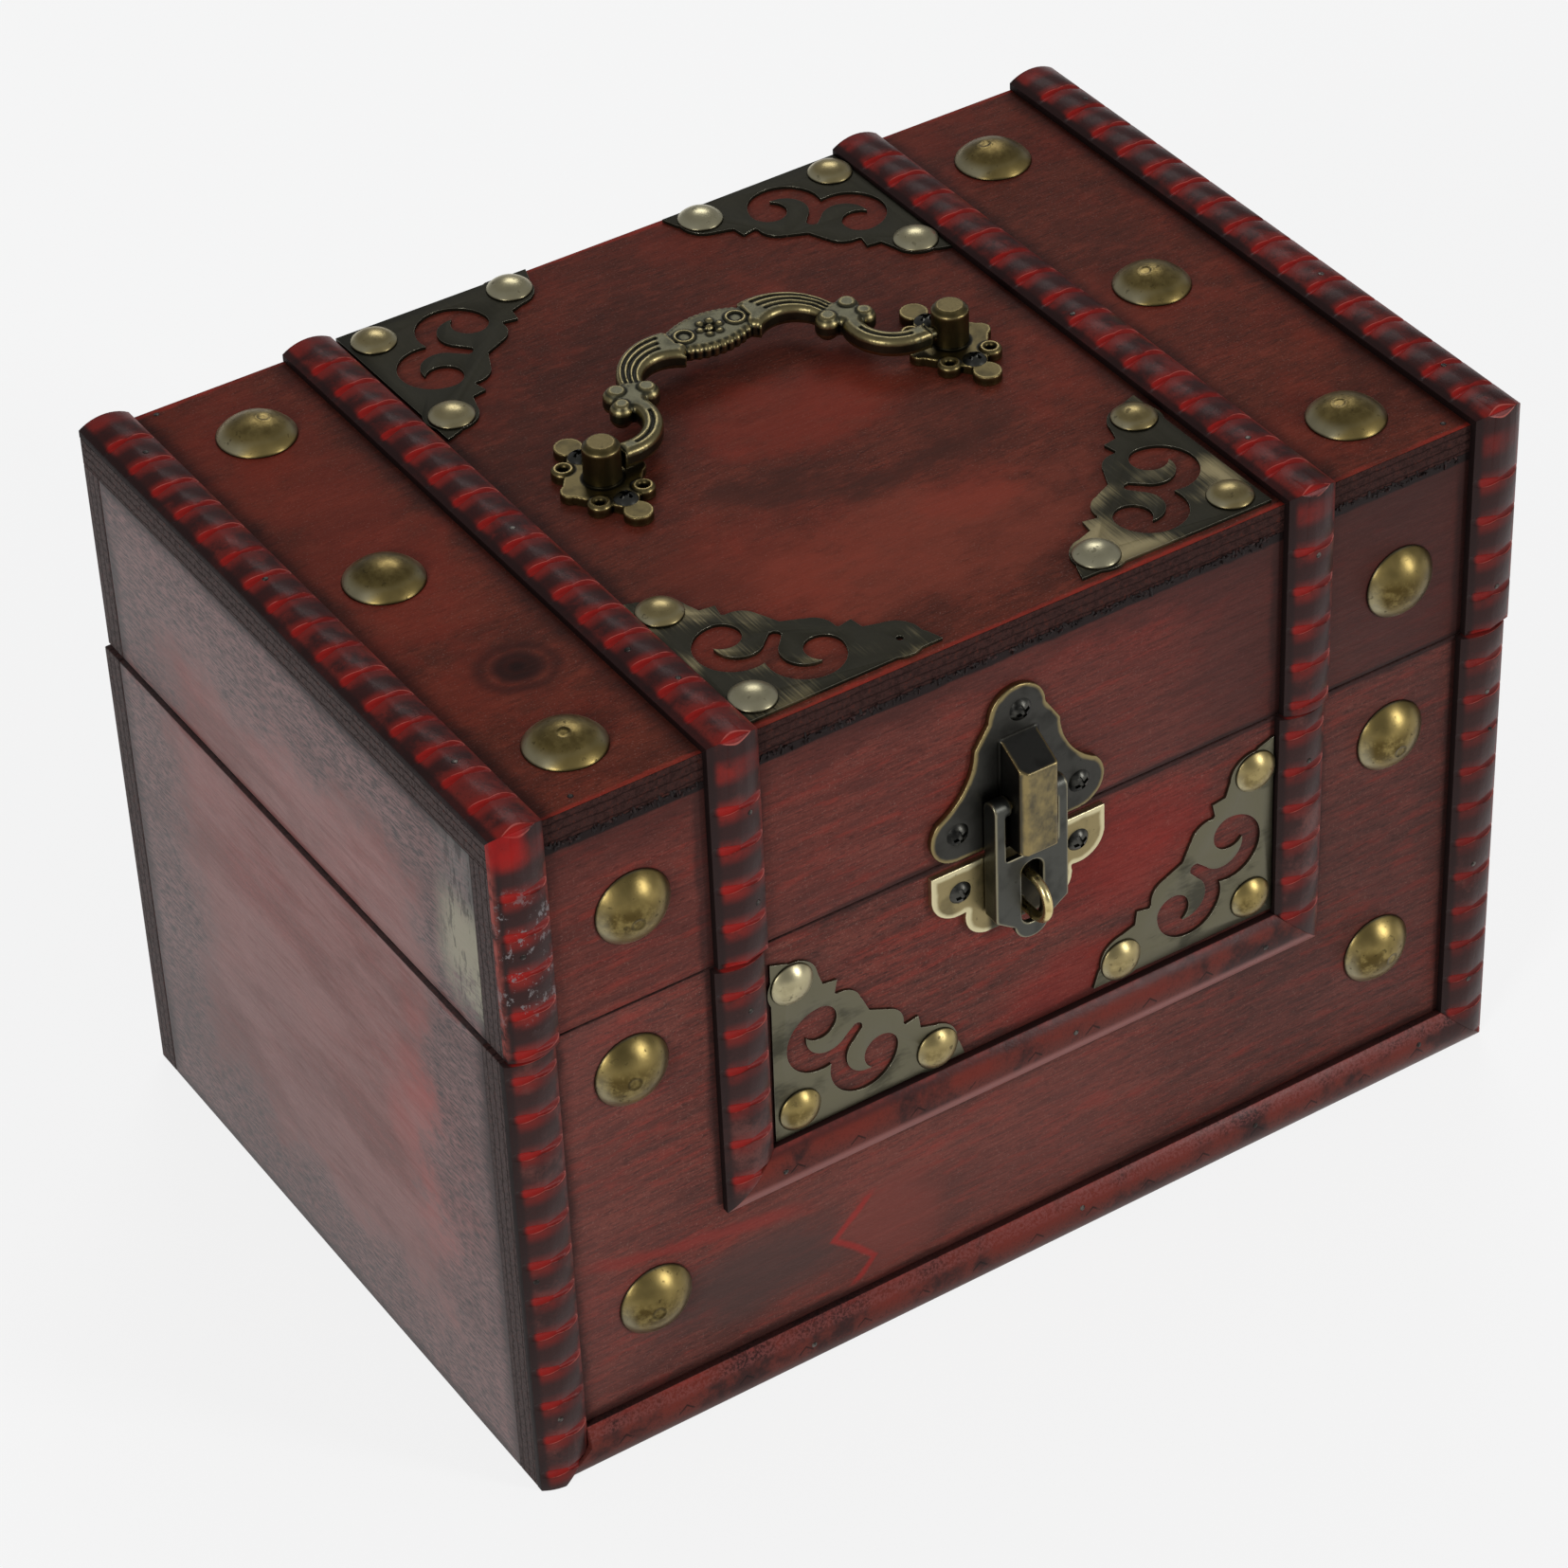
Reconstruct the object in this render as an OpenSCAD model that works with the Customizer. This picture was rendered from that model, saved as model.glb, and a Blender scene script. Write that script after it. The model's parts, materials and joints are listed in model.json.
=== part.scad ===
// Wooden keepsake chest: a plywood case and a hinged plywood lid, trimmed with
// scalloped half-round strips, domed tacks and pierced corner plates, with a
// fork hasp over a staple in front and a cast bail handle on top.
// Millimetres. X runs along the front, Y to the back, Z up. The origin is the
// middle of the underside of the case.

/* [Box] */
// Width of the case along the front
box_width = 220; // [200:1:240]
// Depth of the case from front to back
box_depth = 147; // [138:1:165]
// Height of case and closed lid, without the strips
box_height = 151; // [142:1:165]
// Share of the height at which case and lid part
split_share = 0.685; // [0.67:0.005:0.7]
// Thickness of the plywood
board_thick = 6; // [5.5:0.5:7]
// Gap between the case and the closed lid
lid_gap = 0.4; // [0.3:0.1:0.6]
// How far the lid sits to the right of the case, as it was hinged
lid_shift = 0.9; // [0:0.1:1.2]

/* [Strips] */
// Width of a trim strip
strip_width = 10.4; // [9:0.2:11]
// Height of a strip at its crest
strip_rise = 3.1; // [2.6:0.1:3.6]
// Height of a strip at its edges
strip_edge = 1.5; // [1.2:0.1:1.8]
// Rounding of the strips where they turn over the front edge
strip_round = 2.2; // [1:0.2:2.4]
// Distance from the middle of the box to the inner strips
inner_strip_at = 56.8; // [52:0.2:60]
// Distance from the split down to the lower edge of the frame
frame_drop = 57.2; // [55:0.2:62]
// Distance from one scallop notch to the next
notch_pitch = 8.7; // [8:0.1:9.5]
// Radius of a scallop notch at the edges of the strip
notch_wide = 1.7; // [1.5:0.1:1.9]
// Radius of a scallop notch at the crest
notch_narrow = 0.5; // [0.3:0.05:0.7]

/* [Tacks] */
// Diameter of a large domed tack
big_tack = 17; // [15:0.5:19]
// Height of a large dome
big_rise = 3.2; // [2.6:0.1:3.8]
// Diameter of a small domed tack
small_tack = 9; // [8:0.5:9.5]
// Height of a small dome
small_rise = 2.1; // [1.8:0.1:2.6]
// Diameter of a tack's nail
nail = 1.4; // [1.2:0.1:1.6]
// Length of a tack's nail in the wood
nail_length = 4.6; // [4:0.1:5]

/* [Corner plates] */
// Length of a corner plate along each leg
plate_leg = 41.5; // [40:0.5:43]
// Thickness of a corner plate
plate_thick = 0.7; // [0.5:0.1:0.9]

/* [Latch] */
// Width of the latch's lid plate
latch_width = 38; // [36:0.5:40]
// Sideways place of the latch, from the middle
latch_x = -2; // [-4:0.5:4]
// Thickness of the latch plates
latch_thick = 1.4; // [1.2:0.1:1.6]
// How far the boss stands out from the wood
boss_out = 8.5; // [8:0.1:9]
// Width of the boss
boss_width = 7.9; // [7:0.1:8.2]
// Diameter of the hasp's pin
hasp_pin = 2; // [1.8:0.1:2.2]
// Outer width of the hasp
hasp_width = 15.9; // [15.6:0.1:16.4]
// How far the hasp's face stands out from the wood
hasp_out = 5.6; // [5.4:0.1:5.8]
// Thickness of the hasp's face and of its sides
hasp_thick = 1.4; // [1.2:0.1:1.5]
// Width of the hasp's slot
slot_width = 4.8; // [4.4:0.1:5]
// Diameter of the staple's wire
staple_wire = 1.9; // [1.7:0.1:2.1]
// How far the staple stands out from the wood
staple_out = 11.3; // [10.8:0.1:11.8]

/* [Handle] */
// Distance between the middles of the two posts
post_span = 76.4; // [74:0.2:78]
// Sideways place of the handle, from the middle
handle_x = -0.6; // [-3:0.1:3]
// Place of the handle's axis behind the middle of the box
handle_y = 3.1; // [0:0.1:5]
// Diameter of a post
post_dia = 7.2; // [6.8:0.1:7.6]
// Height of a post above the wood
post_rise = 10; // [9.4:0.1:11]
// Height of the handle's axis above the wood
bail_axis = 5; // [4.9:0.1:5.4]
// Thickness of the bail
bail_thick = 4.2; // [3.8:0.1:4.3]
// Diameter of the bail's end pins
bail_pin = 2; // [1.8:0.1:2.2]
// How far the bail leans back from upright when it rests
bail_lean = 87; // [80:1:88]
// Thickness of a post's rosette
rosette_thick = 2; // [1.8:0.1:2.1]

/* [Hinges] */
// Distance of each hinge's middle from the middle of the box
hinge_at = 62; // [55:1:70]
// Length of a hinge along the back
hinge_length = 27; // [24:1:30]
// Height of a hinge leaf from the axis
leaf_reach = 12.5; // [11.5:0.5:14]
// Thickness of a hinge leaf
leaf_thick = 0.9; // [0.8:0.1:1]
// Diameter of a hinge knuckle
knuckle_dia = 4; // [3.8:0.1:4.2]
// Diameter of a hinge pin
hinge_pin = 1.8; // [1.6:0.1:2]
// Opening angle at which the heels of the two leaves meet
stop_angle = 104; // [100:1:108]

/* [Hidden] */
$fn = 64;
// Colours of wood, lacquered strips, tacks, plates, latch, handle and screws
wood_tint = [0.33, 0.13, 0.11];
strip_tint = [0.25, 0.10, 0.09];
tack_tint = [0.62, 0.54, 0.33];
plate_tint = [0.28, 0.27, 0.22];
latch_tint = [0.36, 0.35, 0.30];
wire_tint = [0.72, 0.60, 0.32];
handle_tint = [0.42, 0.37, 0.20];
screw_tint = [0.10, 0.10, 0.10];
// Running clearance of pins, play beside moving pieces, overlap of joined shapes
run_fit = 0.05;
play = 0.3;
merge = 0.2;
// Faces of the box
half_w = box_width / 2;
half_d = box_depth / 2;
front_y = -half_d;
split_z = box_height * split_share;
case_top = split_z - lid_gap / 2;
frame_low = split_z - frame_drop;
lid_low = split_z + lid_gap / 2;
// Strips: radius of the dome, distances to the outer strips, starts and counts of notches
dome_drop = strip_rise - strip_edge;
dome_radius = (pow(strip_width / 2, 2) + pow(dome_drop, 2)) / (2 * dome_drop);
outer_strip_at = half_w - strip_width;
inner_strip_end = inner_strip_at + strip_width;
top_notch_start = 9.9;
top_notches = floor((box_depth - top_notch_start - strip_rise) / notch_pitch) + 1;
function notches(length, start) = floor((length - start) / notch_pitch) + 1;
lid_start_shares = [1.61, 1.76, 1.53, 1.78];
case_start_shares = [0.40, 0.67, 0.45, 0.69];
// The left foot of the outer strip is cut at a slant of this size
foot_slant = 6;
// Tacks: columns, rows, and the drift of each from its place as shares of its diameter
tack_column = (inner_strip_end + outer_strip_at) / 2;
top_tack_inset = 17.5;
lid_tack_up = 20;
case_tack_down = 15.6;
case_tack_low = 33.5;
top_row = half_d - top_tack_inset;
top_left_drift_shares = [[0.02, -0.08], [-0.18, 0.08], [-0.09, -0.12]];
top_right_drift_shares = [[-0.12, -0.16], [-0.19, -0.08], [-0.05, -0.14]];
lid_drift_shares = [[0.04, 0.07], [0.05, -0.08]];
case_drift_shares = [[-0.05, 0.07], [0.05, -0.06], [0.05, -0.06], [-0.02, 0.06]];
// Corner plate: tack places along a leg, then outline and circles [x, y, radius] as
// shares of the leg, and how far each plate sits off its corner as shares of a tack
plate_near = 5.3;
plate_far = 35.4;
plate_in = 4.7;
tip_lobe_share = [0.834, 0.12, 0.128];
side_lobe_share = [0.576, 0.359, 0.106];
bowl_share = [0.472, 0.253, 0.178];
tongue_share = [0.494, 0.289, 0.113];
curl_share = [0.561, 0.248, 0.089];
slot_share = 0.0275;
slot_tip_share = 0.439;
slot_mouth_share = 0.32;
plate_edge_shares = [[0, 0], [1, 0.01], [0.973, 0.09], [0.87, 0.24], [0.77, 0.272],
    [0.76, 0.345], [0.69, 0.33], [0.595, 0.467], [0.506, 0.506], [0.467, 0.595],
    [0.33, 0.69], [0.345, 0.76], [0.272, 0.77], [0.24, 0.87], [0.09, 0.973], [0.01, 1]];
tongue_root_shares = [[0.494, 0.289], [0.561, 0.248], [0.653, 0.248], [0.7, 0.48],
    [0.5, 0.51], [0.477, 0.439], [0.407, 0.359]];
top_plate_off_shares = [[-0.09, 0.2], [0.17, 0.2], [0.11, 0], [-0.12, 0.06]];
case_plate_off_shares = [[0.12, 0.04], [0.02, 0.13]];
// Latch: outlines as shares of its width, [x, height, radius] from the split, then
// heights from the split and distances from the latch's middle
hinge_up = 10.6;
leg_radius = (hasp_out - latch_thick - play) / 2;
hasp_axis = [latch_x, -(half_d + latch_thick + play + leg_radius), split_z + hinge_up];
boss_low = 1.1;
boss_bevels = [1.5, 0.7];
boss_high_share = 0.518;
boss_root_share = 0.642;
top_lobe_share = [0, 0.735, 0.163];
low_lobe_share = [0.347, 0.163, 0.153];
low_corner_share = [0.462, 0.264];
side_hollow_share = [0.629, 0.616, 0.384];
wing_share = [0.503, 0.19];
wing_lobe_share = [0.35, 0.173, 0.153];
step_lobe_share = [0.174, 0.363, 0.137];
top_screw_share = [0.015, 0.752];
side_screw_share = [0.35, 0.174];
case_screw_share = [0.342, 0.182];
web_top = 0.8;
web_side = 14.2;
tip_at = 16.7;
tip_radius = 3.9;
tip_neck = 4.4;
slot_high = 5.2;
slot_low = 14.8;
leg_thick = 2.3;
pin_skin = 0.6;
staple_mid = 10.8;
staple_half = 4.3;
staple_root = 4;
// Screws: head diameter, head height, cross width, cross depth, shank, length
screw_head = 4.7;
screw_rise = 1.2;
cross_width = 0.8;
cross_span = 2.9;
cross_depth = 0.7;
screw_shank = 2.2;
screw_length = 3.4;
// Handle: bail outline in its own plane as shares of its half width, [x, distance from
// the axis, radius]; rosette outline as shares of its half length
bail_end_play = 0.9;
bail_slack = 0.55;
bail_reach = post_span / 2 - post_dia / 2 - bail_end_play;
scroll_share = [0.926, 0.242, 0.242];
scroll_half_share = 0.0575;
curl_ball_share = [0.794, 0.322, 0.065];
outer_ball_share = [0.755, 0.442, 0.074];
inner_ball_share = [0.59, 0.386, 0.071];
arm_outer_share = [0.324, 0.413, 0.383];
arm_inner_share = [0.386, 0.392, 0.195];
arm_toe_share = [0.254, 0.596, 0.044];
crest_outer_share = [0, 0.354, 0.475];
crest_inner_share = [0, 0.953, 0.428];
crest_half_share = 0.248;
arm_base_share = 0.431;
arm_neck_share = [0.66, 0.47];
crest_thick_share = 0.78;
bail_pin_reach = 2.2;
// Carving of the bail, as shares of its half width: flutes across an arm from its
// inner to its outer edge, width of a flute, its first angle and sweep, the groove of
// the scroll, beads along both edges of the crest [radius, steps to the last, degrees],
// the flower [petals, distance, petal radius, eye radius], height of all raised work
flute_shares = [0.3, 0.52, 0.74];
flute_width_share = 0.022;
flute_start = 12;
flute_sweep = 84;
scroll_start = 188;
scroll_sweep = 76;
crest_bead_share = 0.025;
crest_bead_counts = [4, 6];
crest_bead_steps = [6.6, 4.4];
flower_petals = 6;
flower_share = [0.062, 0.027, 0.036];
leaf_vein_share = [0.168, 0.052];
raised_share = 0.012;
button_foot = 0.86;
button_taper = 0.62;
// Rosette: rings on the middle leaves as shares of its half length [radius, tube, eye]
rosette_ring_share = [0.105, 0.032, 0.062];
post_bevel = 1;
post_collar = 1;
rosette_length = 30;
rosette_tip_share = 0.59;
rosette_waist_share = [0.287, 0.413];
leaf_side_share = [0.45, 0, 0.14];
leaf_end_share = [0, 0.813, 0.187];
leaf_mid_share = [0.307, 0.427, 0.153];
handle_screw_at = 8;
axis_z = box_height + bail_axis;
// Hinges: axis behind the case, knuckle spans, heel
knuckle_gap = 0.4;
hinge_axis_y = half_d + knuckle_dia / 2 + knuckle_gap;
knuckle_side = hinge_length / 3;
leaf_start = knuckle_dia / 2 + knuckle_gap;
heel_thick = 1;
heel_out = leaf_start * tan((180 - stop_angle) / 2);
leaf_screw_share = [0.31, 0.64];
leaf_screw = [hinge_length * leaf_screw_share[0], leaf_reach * leaf_screw_share[1]];
leaf_head = 3.9;
leaf_head_rise = 0.9;
leaf_shank = 1.8;

// Cross-section of a strip: flat below, low dome above
module strip_section() {
    intersection() {
        square([strip_width, strip_rise]);
        translate([strip_width / 2, strip_rise - dome_radius]) circle(dome_radius, $fn = 128);
    }
}

// A bow-tie notch across a strip, its middle on the crest
module notch() {
    for (side = [-1, 1])
        rotate([0, side * 90, 0]) cylinder(strip_width / 2 + merge, notch_narrow, notch_wide,
            $fn = 24);
}

// A strip of a given length with notches from a given start
module strip(length, start = 0, count = 0) {
    difference() {
        linear_extrude(length) strip_section();
        for (i = [0:1:count - 1])
            translate([strip_width / 2, strip_rise, start + i * notch_pitch]) notch();
    }
}

// Side view of the turn over the front edge; [y, z] outlines extruded along X
module along_x(length) {
    rotate([90, 0, 90]) linear_extrude(length) children();
}

module rounded_turn(outline) {
    difference() {
        polygon(outline);
        translate([front_y - strip_rise, box_height + strip_rise - strip_round])
            difference() {
                square(strip_round);
                translate([strip_round, 0]) circle(strip_round);
            }
    }
}

module top_strip(x) {
    color(strip_tint) translate([x + lid_shift, 0, 0]) intersection() {
        translate([0, half_d, box_height]) rotate([90, 0, 0])
            strip(box_depth + strip_rise, top_notch_start, top_notches);
        along_x(strip_width) rounded_turn([[half_d, box_height], [front_y, box_height],
            [front_y - strip_rise, box_height + strip_rise],
            [half_d, box_height + strip_rise]]);
    }
}

module lid_strip(x, start_share) {
    high = box_height + strip_rise;
    start = start_share * notch_pitch;
    color(strip_tint) translate([x + lid_shift, 0, 0]) intersection() {
        translate([0, front_y, high]) rotate([180, 0, 0])
            strip(high - lid_low, start, notches(high - lid_low, start));
        along_x(strip_width) rounded_turn([[front_y, lid_low], [front_y, box_height],
            [front_y - strip_rise, high], [front_y - strip_rise, lid_low]]);
    }
}

// A strip down the front of the case, kept inside a given [x, z] outline
module case_strip(x, start_share, low, outline) {
    start = start_share * notch_pitch;
    color(strip_tint) intersection() {
        translate([x, front_y, case_top]) rotate([180, 0, 0])
            strip(case_top, start, notches(case_top - low, start));
        translate([0, front_y, 0]) rotate([90, 0, 0]) linear_extrude(strip_rise)
            polygon(outline);
    }
}

// A plain strip along the front, kept inside a given [x, z] outline
module cross_strip(z, outline) {
    color(strip_tint) intersection() {
        translate([-half_w, front_y, z]) rotate([180, -90, 0]) strip(box_width);
        translate([0, front_y, 0]) rotate([90, 0, 0]) linear_extrude(strip_rise)
            polygon(outline);
    }
}

// Boards: outer corner and size
module board(corner, size) {
    color(wood_tint) translate(corner) cube(size);
}

module case_front_board() {
    board([-half_w, front_y, 0], [box_width, board_thick, case_top]);
}

module case_back_board() {
    board([-half_w, half_d - board_thick, 0], [box_width, board_thick, case_top]);
}

module case_left_board() {
    board([-half_w, front_y + board_thick, 0],
        [board_thick, box_depth - 2 * board_thick, case_top]);
}

module case_right_board() {
    board([half_w - board_thick, front_y + board_thick, 0],
        [board_thick, box_depth - 2 * board_thick, case_top]);
}

module case_bottom_board() {
    board([board_thick - half_w, front_y + board_thick, 0],
        [box_width - 2 * board_thick, box_depth - 2 * board_thick, board_thick]);
}

module lid_top_board() {
    board([lid_shift - half_w, front_y, box_height - board_thick],
        [box_width, box_depth, board_thick]);
}

module lid_front_board() {
    board([lid_shift - half_w, front_y, lid_low],
        [box_width, board_thick, box_height - board_thick - lid_low]);
}

module lid_back_board() {
    board([lid_shift - half_w, half_d - board_thick, lid_low],
        [box_width, board_thick, box_height - board_thick - lid_low]);
}

module lid_left_board() {
    board([lid_shift - half_w, front_y + board_thick, lid_low],
        [board_thick, box_depth - 2 * board_thick, box_height - board_thick - lid_low]);
}

module lid_right_board() {
    board([lid_shift + half_w - board_thick, front_y + board_thick, lid_low],
        [board_thick, box_depth - 2 * board_thick, box_height - board_thick - lid_low]);
}

module case_strip_left() {
    case_strip(-half_w, case_start_shares[0], 0, [[-half_w, 0], [-outer_strip_at - foot_slant, 0],
        [-outer_strip_at, foot_slant], [-outer_strip_at, case_top], [-half_w, case_top]]);
}

module case_strip_right() {
    case_strip(outer_strip_at, case_start_shares[3], 0, [[half_w, 0], [outer_strip_at, strip_width],
        [outer_strip_at, case_top], [half_w, case_top]]);
}

module frame_strip_left() {
    case_strip(-inner_strip_end, case_start_shares[1], frame_low + notch_wide,
        [[-inner_strip_end, frame_low], [-inner_strip_at, frame_low + strip_width],
        [-inner_strip_at, case_top],
        [-inner_strip_end, case_top]]);
}

module frame_strip_right() {
    case_strip(inner_strip_at, case_start_shares[2], frame_low + notch_wide,
        [[inner_strip_end, frame_low], [inner_strip_at, frame_low + strip_width], [inner_strip_at, case_top],
        [inner_strip_end, case_top]]);
}

module frame_bar() {
    cross_strip(frame_low, [[-inner_strip_end, frame_low], [inner_strip_end, frame_low],
        [inner_strip_at, frame_low + strip_width],
        [-inner_strip_at, frame_low + strip_width]]);
}

module foot_strip() {
    cross_strip(0, [[-outer_strip_at - foot_slant, 0], [half_w, 0],
        [outer_strip_at, strip_width], [-outer_strip_at, strip_width],
        [-outer_strip_at, foot_slant]]);
}

// A domed tack standing on z = 0 with its nail below
module tack(width, rise, under = 0) {
    radius = (pow(width / 2, 2) + pow(rise, 2)) / (2 * rise);
    intersection() {
        translate([0, 0, rise - radius]) sphere(radius, $fn = 96);
        cylinder(rise, d = width);
    }
    translate([0, 0, -nail_length - under]) cylinder(nail_length + under + merge, d = nail);
}

// Turns a piece made on z = 0 to stand on the front or the back face
module on_front(x, z, out = 0) {
    translate([x, front_y - out, z]) rotate([90, 0, 0]) children();
}

module on_back(x, z, out = 0) {
    translate([x, half_d + out, z]) rotate([-90, 0, 0]) children();
}

module case_big_tacks() {
    color(tack_tint) for (i = [0:3])
        on_front((i < 2 ? -tack_column : tack_column) + big_tack * case_drift_shares[i][0],
            (i % 2 == 0 ? case_top - case_tack_down : case_tack_low)
            + big_tack * case_drift_shares[i][1]) tack(big_tack, big_rise);
}

module lid_top_tacks() {
    color(tack_tint) for (i = [0:2]) {
        left = big_tack * top_left_drift_shares[i];
        right = big_tack * top_right_drift_shares[i];
        row = (1 - i) * top_row;
        translate([lid_shift - tack_column + left[0], row + left[1], box_height])
            tack(big_tack, big_rise);
        translate([lid_shift + tack_column + right[0], row + right[1], box_height])
            tack(big_tack, big_rise);
    }
}

module lid_front_tacks() {
    color(tack_tint) for (i = [0:1])
        on_front(lid_shift + (2 * i - 1) * tack_column + big_tack * lid_drift_shares[i][0],
            lid_low + lid_tack_up + big_tack * lid_drift_shares[i][1])
                tack(big_tack, big_rise);
}

// Corner plate with its right angle at the origin and its legs along +X and +Y
function tack_spots() = [[plate_near, plate_near], [plate_far, plate_in],
    [plate_in, plate_far]];

module both_ways() {
    children();
    mirror([1, -1, 0]) children();
}

module disc(spot) {
    translate([spot[0], spot[1]]) circle(spot[2]);
}

module scroll_cut() {
    difference() {
        union() {
            both_ways() disc(bowl_share * plate_leg);
            rotate(45) translate([slot_mouth_share * sqrt(2), -slot_share] * plate_leg)
                square([(slot_tip_share - slot_mouth_share) * sqrt(2), 2 * slot_share] * plate_leg);
            disc([slot_tip_share, slot_tip_share, slot_share] * plate_leg);
        }
        both_ways() {
            disc(tongue_share * plate_leg);
            polygon(tongue_root_shares * plate_leg);
        }
    }
    both_ways() disc(curl_share * plate_leg);
}

module corner_plate(off) {
    color(plate_tint) linear_extrude(plate_thick) difference() {
        translate(off) difference() {
            union() {
                polygon(plate_edge_shares * plate_leg);
                both_ways() {
                    disc(tip_lobe_share * plate_leg);
                    disc(side_lobe_share * plate_leg);
                }
            }
            scroll_cut();
            for (spot = tack_spots()) translate(spot) circle(d = nail);
        }
        translate([-plate_leg, -plate_leg]) square([3 * plate_leg, plate_leg]);
        translate([-plate_leg, -plate_leg]) square([plate_leg, 3 * plate_leg]);
    }
}

// Places one corner piece on the lid: -1 or 1 for left or right, front or back
module on_top_corner(side, depth) {
    translate([lid_shift + side * inner_strip_at, depth * half_d, box_height])
        mirror([side > 0 ? 1 : 0, 0, 0]) mirror([0, depth > 0 ? 1 : 0, 0]) children();
}

module on_frame_corner(side) {
    translate([side * inner_strip_at, front_y, frame_low + strip_width])
        mirror([side > 0 ? 1 : 0, 0, 0]) rotate([90, 0, 0]) children();
}

function top_off(side, depth) =
    small_tack * top_plate_off_shares[(side + 1) / 2 + (depth + 1)];
function case_off(side) = small_tack * case_plate_off_shares[(side + 1) / 2];

module top_plate(side, depth) { on_top_corner(side, depth) corner_plate(top_off(side, depth)); }
module case_plate(side) { on_frame_corner(side) corner_plate(case_off(side)); }
module top_plate_front_left() { top_plate(-1, -1); }
module top_plate_front_right() { top_plate(1, -1); }
module top_plate_back_left() { top_plate(-1, 1); }
module top_plate_back_right() { top_plate(1, 1); }
module case_plate_left() { case_plate(-1); }
module case_plate_right() { case_plate(1); }

// Tacks through the plates, kept off the strips
module plate_tacks(spots, off) {
    color(tack_tint) for (spot = spots)
        translate([max(spot[0] + off[0], small_tack / 2), max(spot[1] + off[1], small_tack / 2),
            plate_thick]) tack(small_tack, small_rise, plate_thick);
}

module case_small_tacks() {
    for (side = [-1, 1]) on_frame_corner(side) plate_tacks(tack_spots(), case_off(side));
}

// The front left plate has lost the tack at its right-hand tip
module lid_small_tacks() {
    for (side = [-1, 1]) for (depth = [-1, 1])
        on_top_corner(side, depth) plate_tacks(side + depth == -2
            ? [tack_spots()[0], tack_spots()[2]] : tack_spots(), top_off(side, depth));
}

// A round-headed cross-slot screw standing on z = 0 with its shank below
module screw(head, rise, shank, length) {
    radius = (pow(head / 2, 2) + pow(rise, 2)) / (2 * rise);
    difference() {
        intersection() {
            translate([0, 0, rise - radius]) sphere(radius);
            cylinder(rise, d = head);
        }
        for (turn = [0, 90]) rotate([0, 0, turn + 20])
            translate([-cross_span / 2, -cross_width / 2, rise - cross_depth])
                cube([cross_span, cross_width, cross_depth]);
    }
    translate([0, 0, -length]) cylinder(length + rise - cross_depth - merge, d = shank);
}

// Lid plate of the latch: three round lobes with hollow sides
module lid_plate_outline() {
    top = top_lobe_share * latch_width;
    low = low_lobe_share * latch_width;
    corner = low_corner_share * latch_width;
    difference() {
        union() {
            disc(top);
            for (side = [0, 1]) mirror([side, 0]) disc(low);
            polygon([[-low[0], low[1] - low[2]], [low[0], low[1] - low[2]], corner,
                [top[2], top[1]], [-top[2], top[1]], [-corner[0], corner[1]]]);
        }
        for (side = [0, 1]) mirror([side, 0]) {
            disc(side_hollow_share * latch_width);
            translate(side_screw_share * latch_width) circle(d = screw_shank);
        }
        translate(top_screw_share * latch_width) circle(d = screw_shank);
    }
}

module latch_lid_plate() {
    color(latch_tint) difference() {
        union() {
            on_front(latch_x, split_z) linear_extrude(latch_thick) lid_plate_outline();
            translate([latch_x - boss_width / 2, front_y, split_z])
                along_x(boss_width) polygon([[-merge, boss_root_share * latch_width],
                    [-boss_out, boss_high_share * latch_width], [-boss_out, boss_low],
                    [-merge, boss_low]]);
        }
        translate([latch_x - boss_width, hasp_axis[1], hasp_axis[2]]) rotate([0, 90, 0])
            cylinder(boss_width * 2, d = hasp_pin);
        translate([latch_x - boss_width, front_y, split_z])
            cube([boss_width * 2, boss_out, latch_width]);
        for (side = [0, 1])
            translate([latch_x + (side - 1 / 2) * boss_width, front_y - boss_out, split_z])
                rotate([0, 0, 45]) translate([-boss_bevels[side] / 2, -boss_bevels[side] / 2, 0])
                    cube([boss_bevels[side], boss_bevels[side], latch_width]);
    }
}

module latch_hasp_pin() {
    length = hasp_width - 2 * pin_skin - merge;
    color(screw_tint) translate([latch_x - length / 2, hasp_axis[1], hasp_axis[2]])
        rotate([0, 90, 0]) cylinder(length, d = hasp_pin);
}

// Case plate of the latch: square wings above, stepped lobes below, drawn downwards
module case_plate_outline() {
    wing = wing_share * latch_width;
    lobe = wing_lobe_share * latch_width;
    step = step_lobe_share * latch_width;
    mirror([0, 1]) difference() {
        union() {
            translate([-wing[0], latch_thick]) square([2 * wing[0], wing[1] - latch_thick]);
            for (side = [0, 1]) mirror([side, 0]) {
                disc(lobe);
                disc(step);
            }
            translate([-lobe[0], wing[1] - merge]) square([2 * lobe[0], lobe[2] / 2]);
            translate([-step[0], wing[1] - merge])
                square([2 * step[0], step[1] + step[2] - wing[1] + merge]);
        }
        translate([-latch_width, latch_thick - latch_width])
            square([2 * latch_width, latch_width]);
        for (side = [0, 1]) mirror([side, 0])
            translate(case_screw_share * latch_width) circle(d = screw_shank);
        for (side = [-1, 1]) translate([0, staple_mid + side * staple_half])
            circle(d = staple_wire);
    }
}

module latch_case_plate() {
    color(latch_tint) on_front(latch_x, split_z)
        linear_extrude(latch_thick) case_plate_outline();
}

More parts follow.
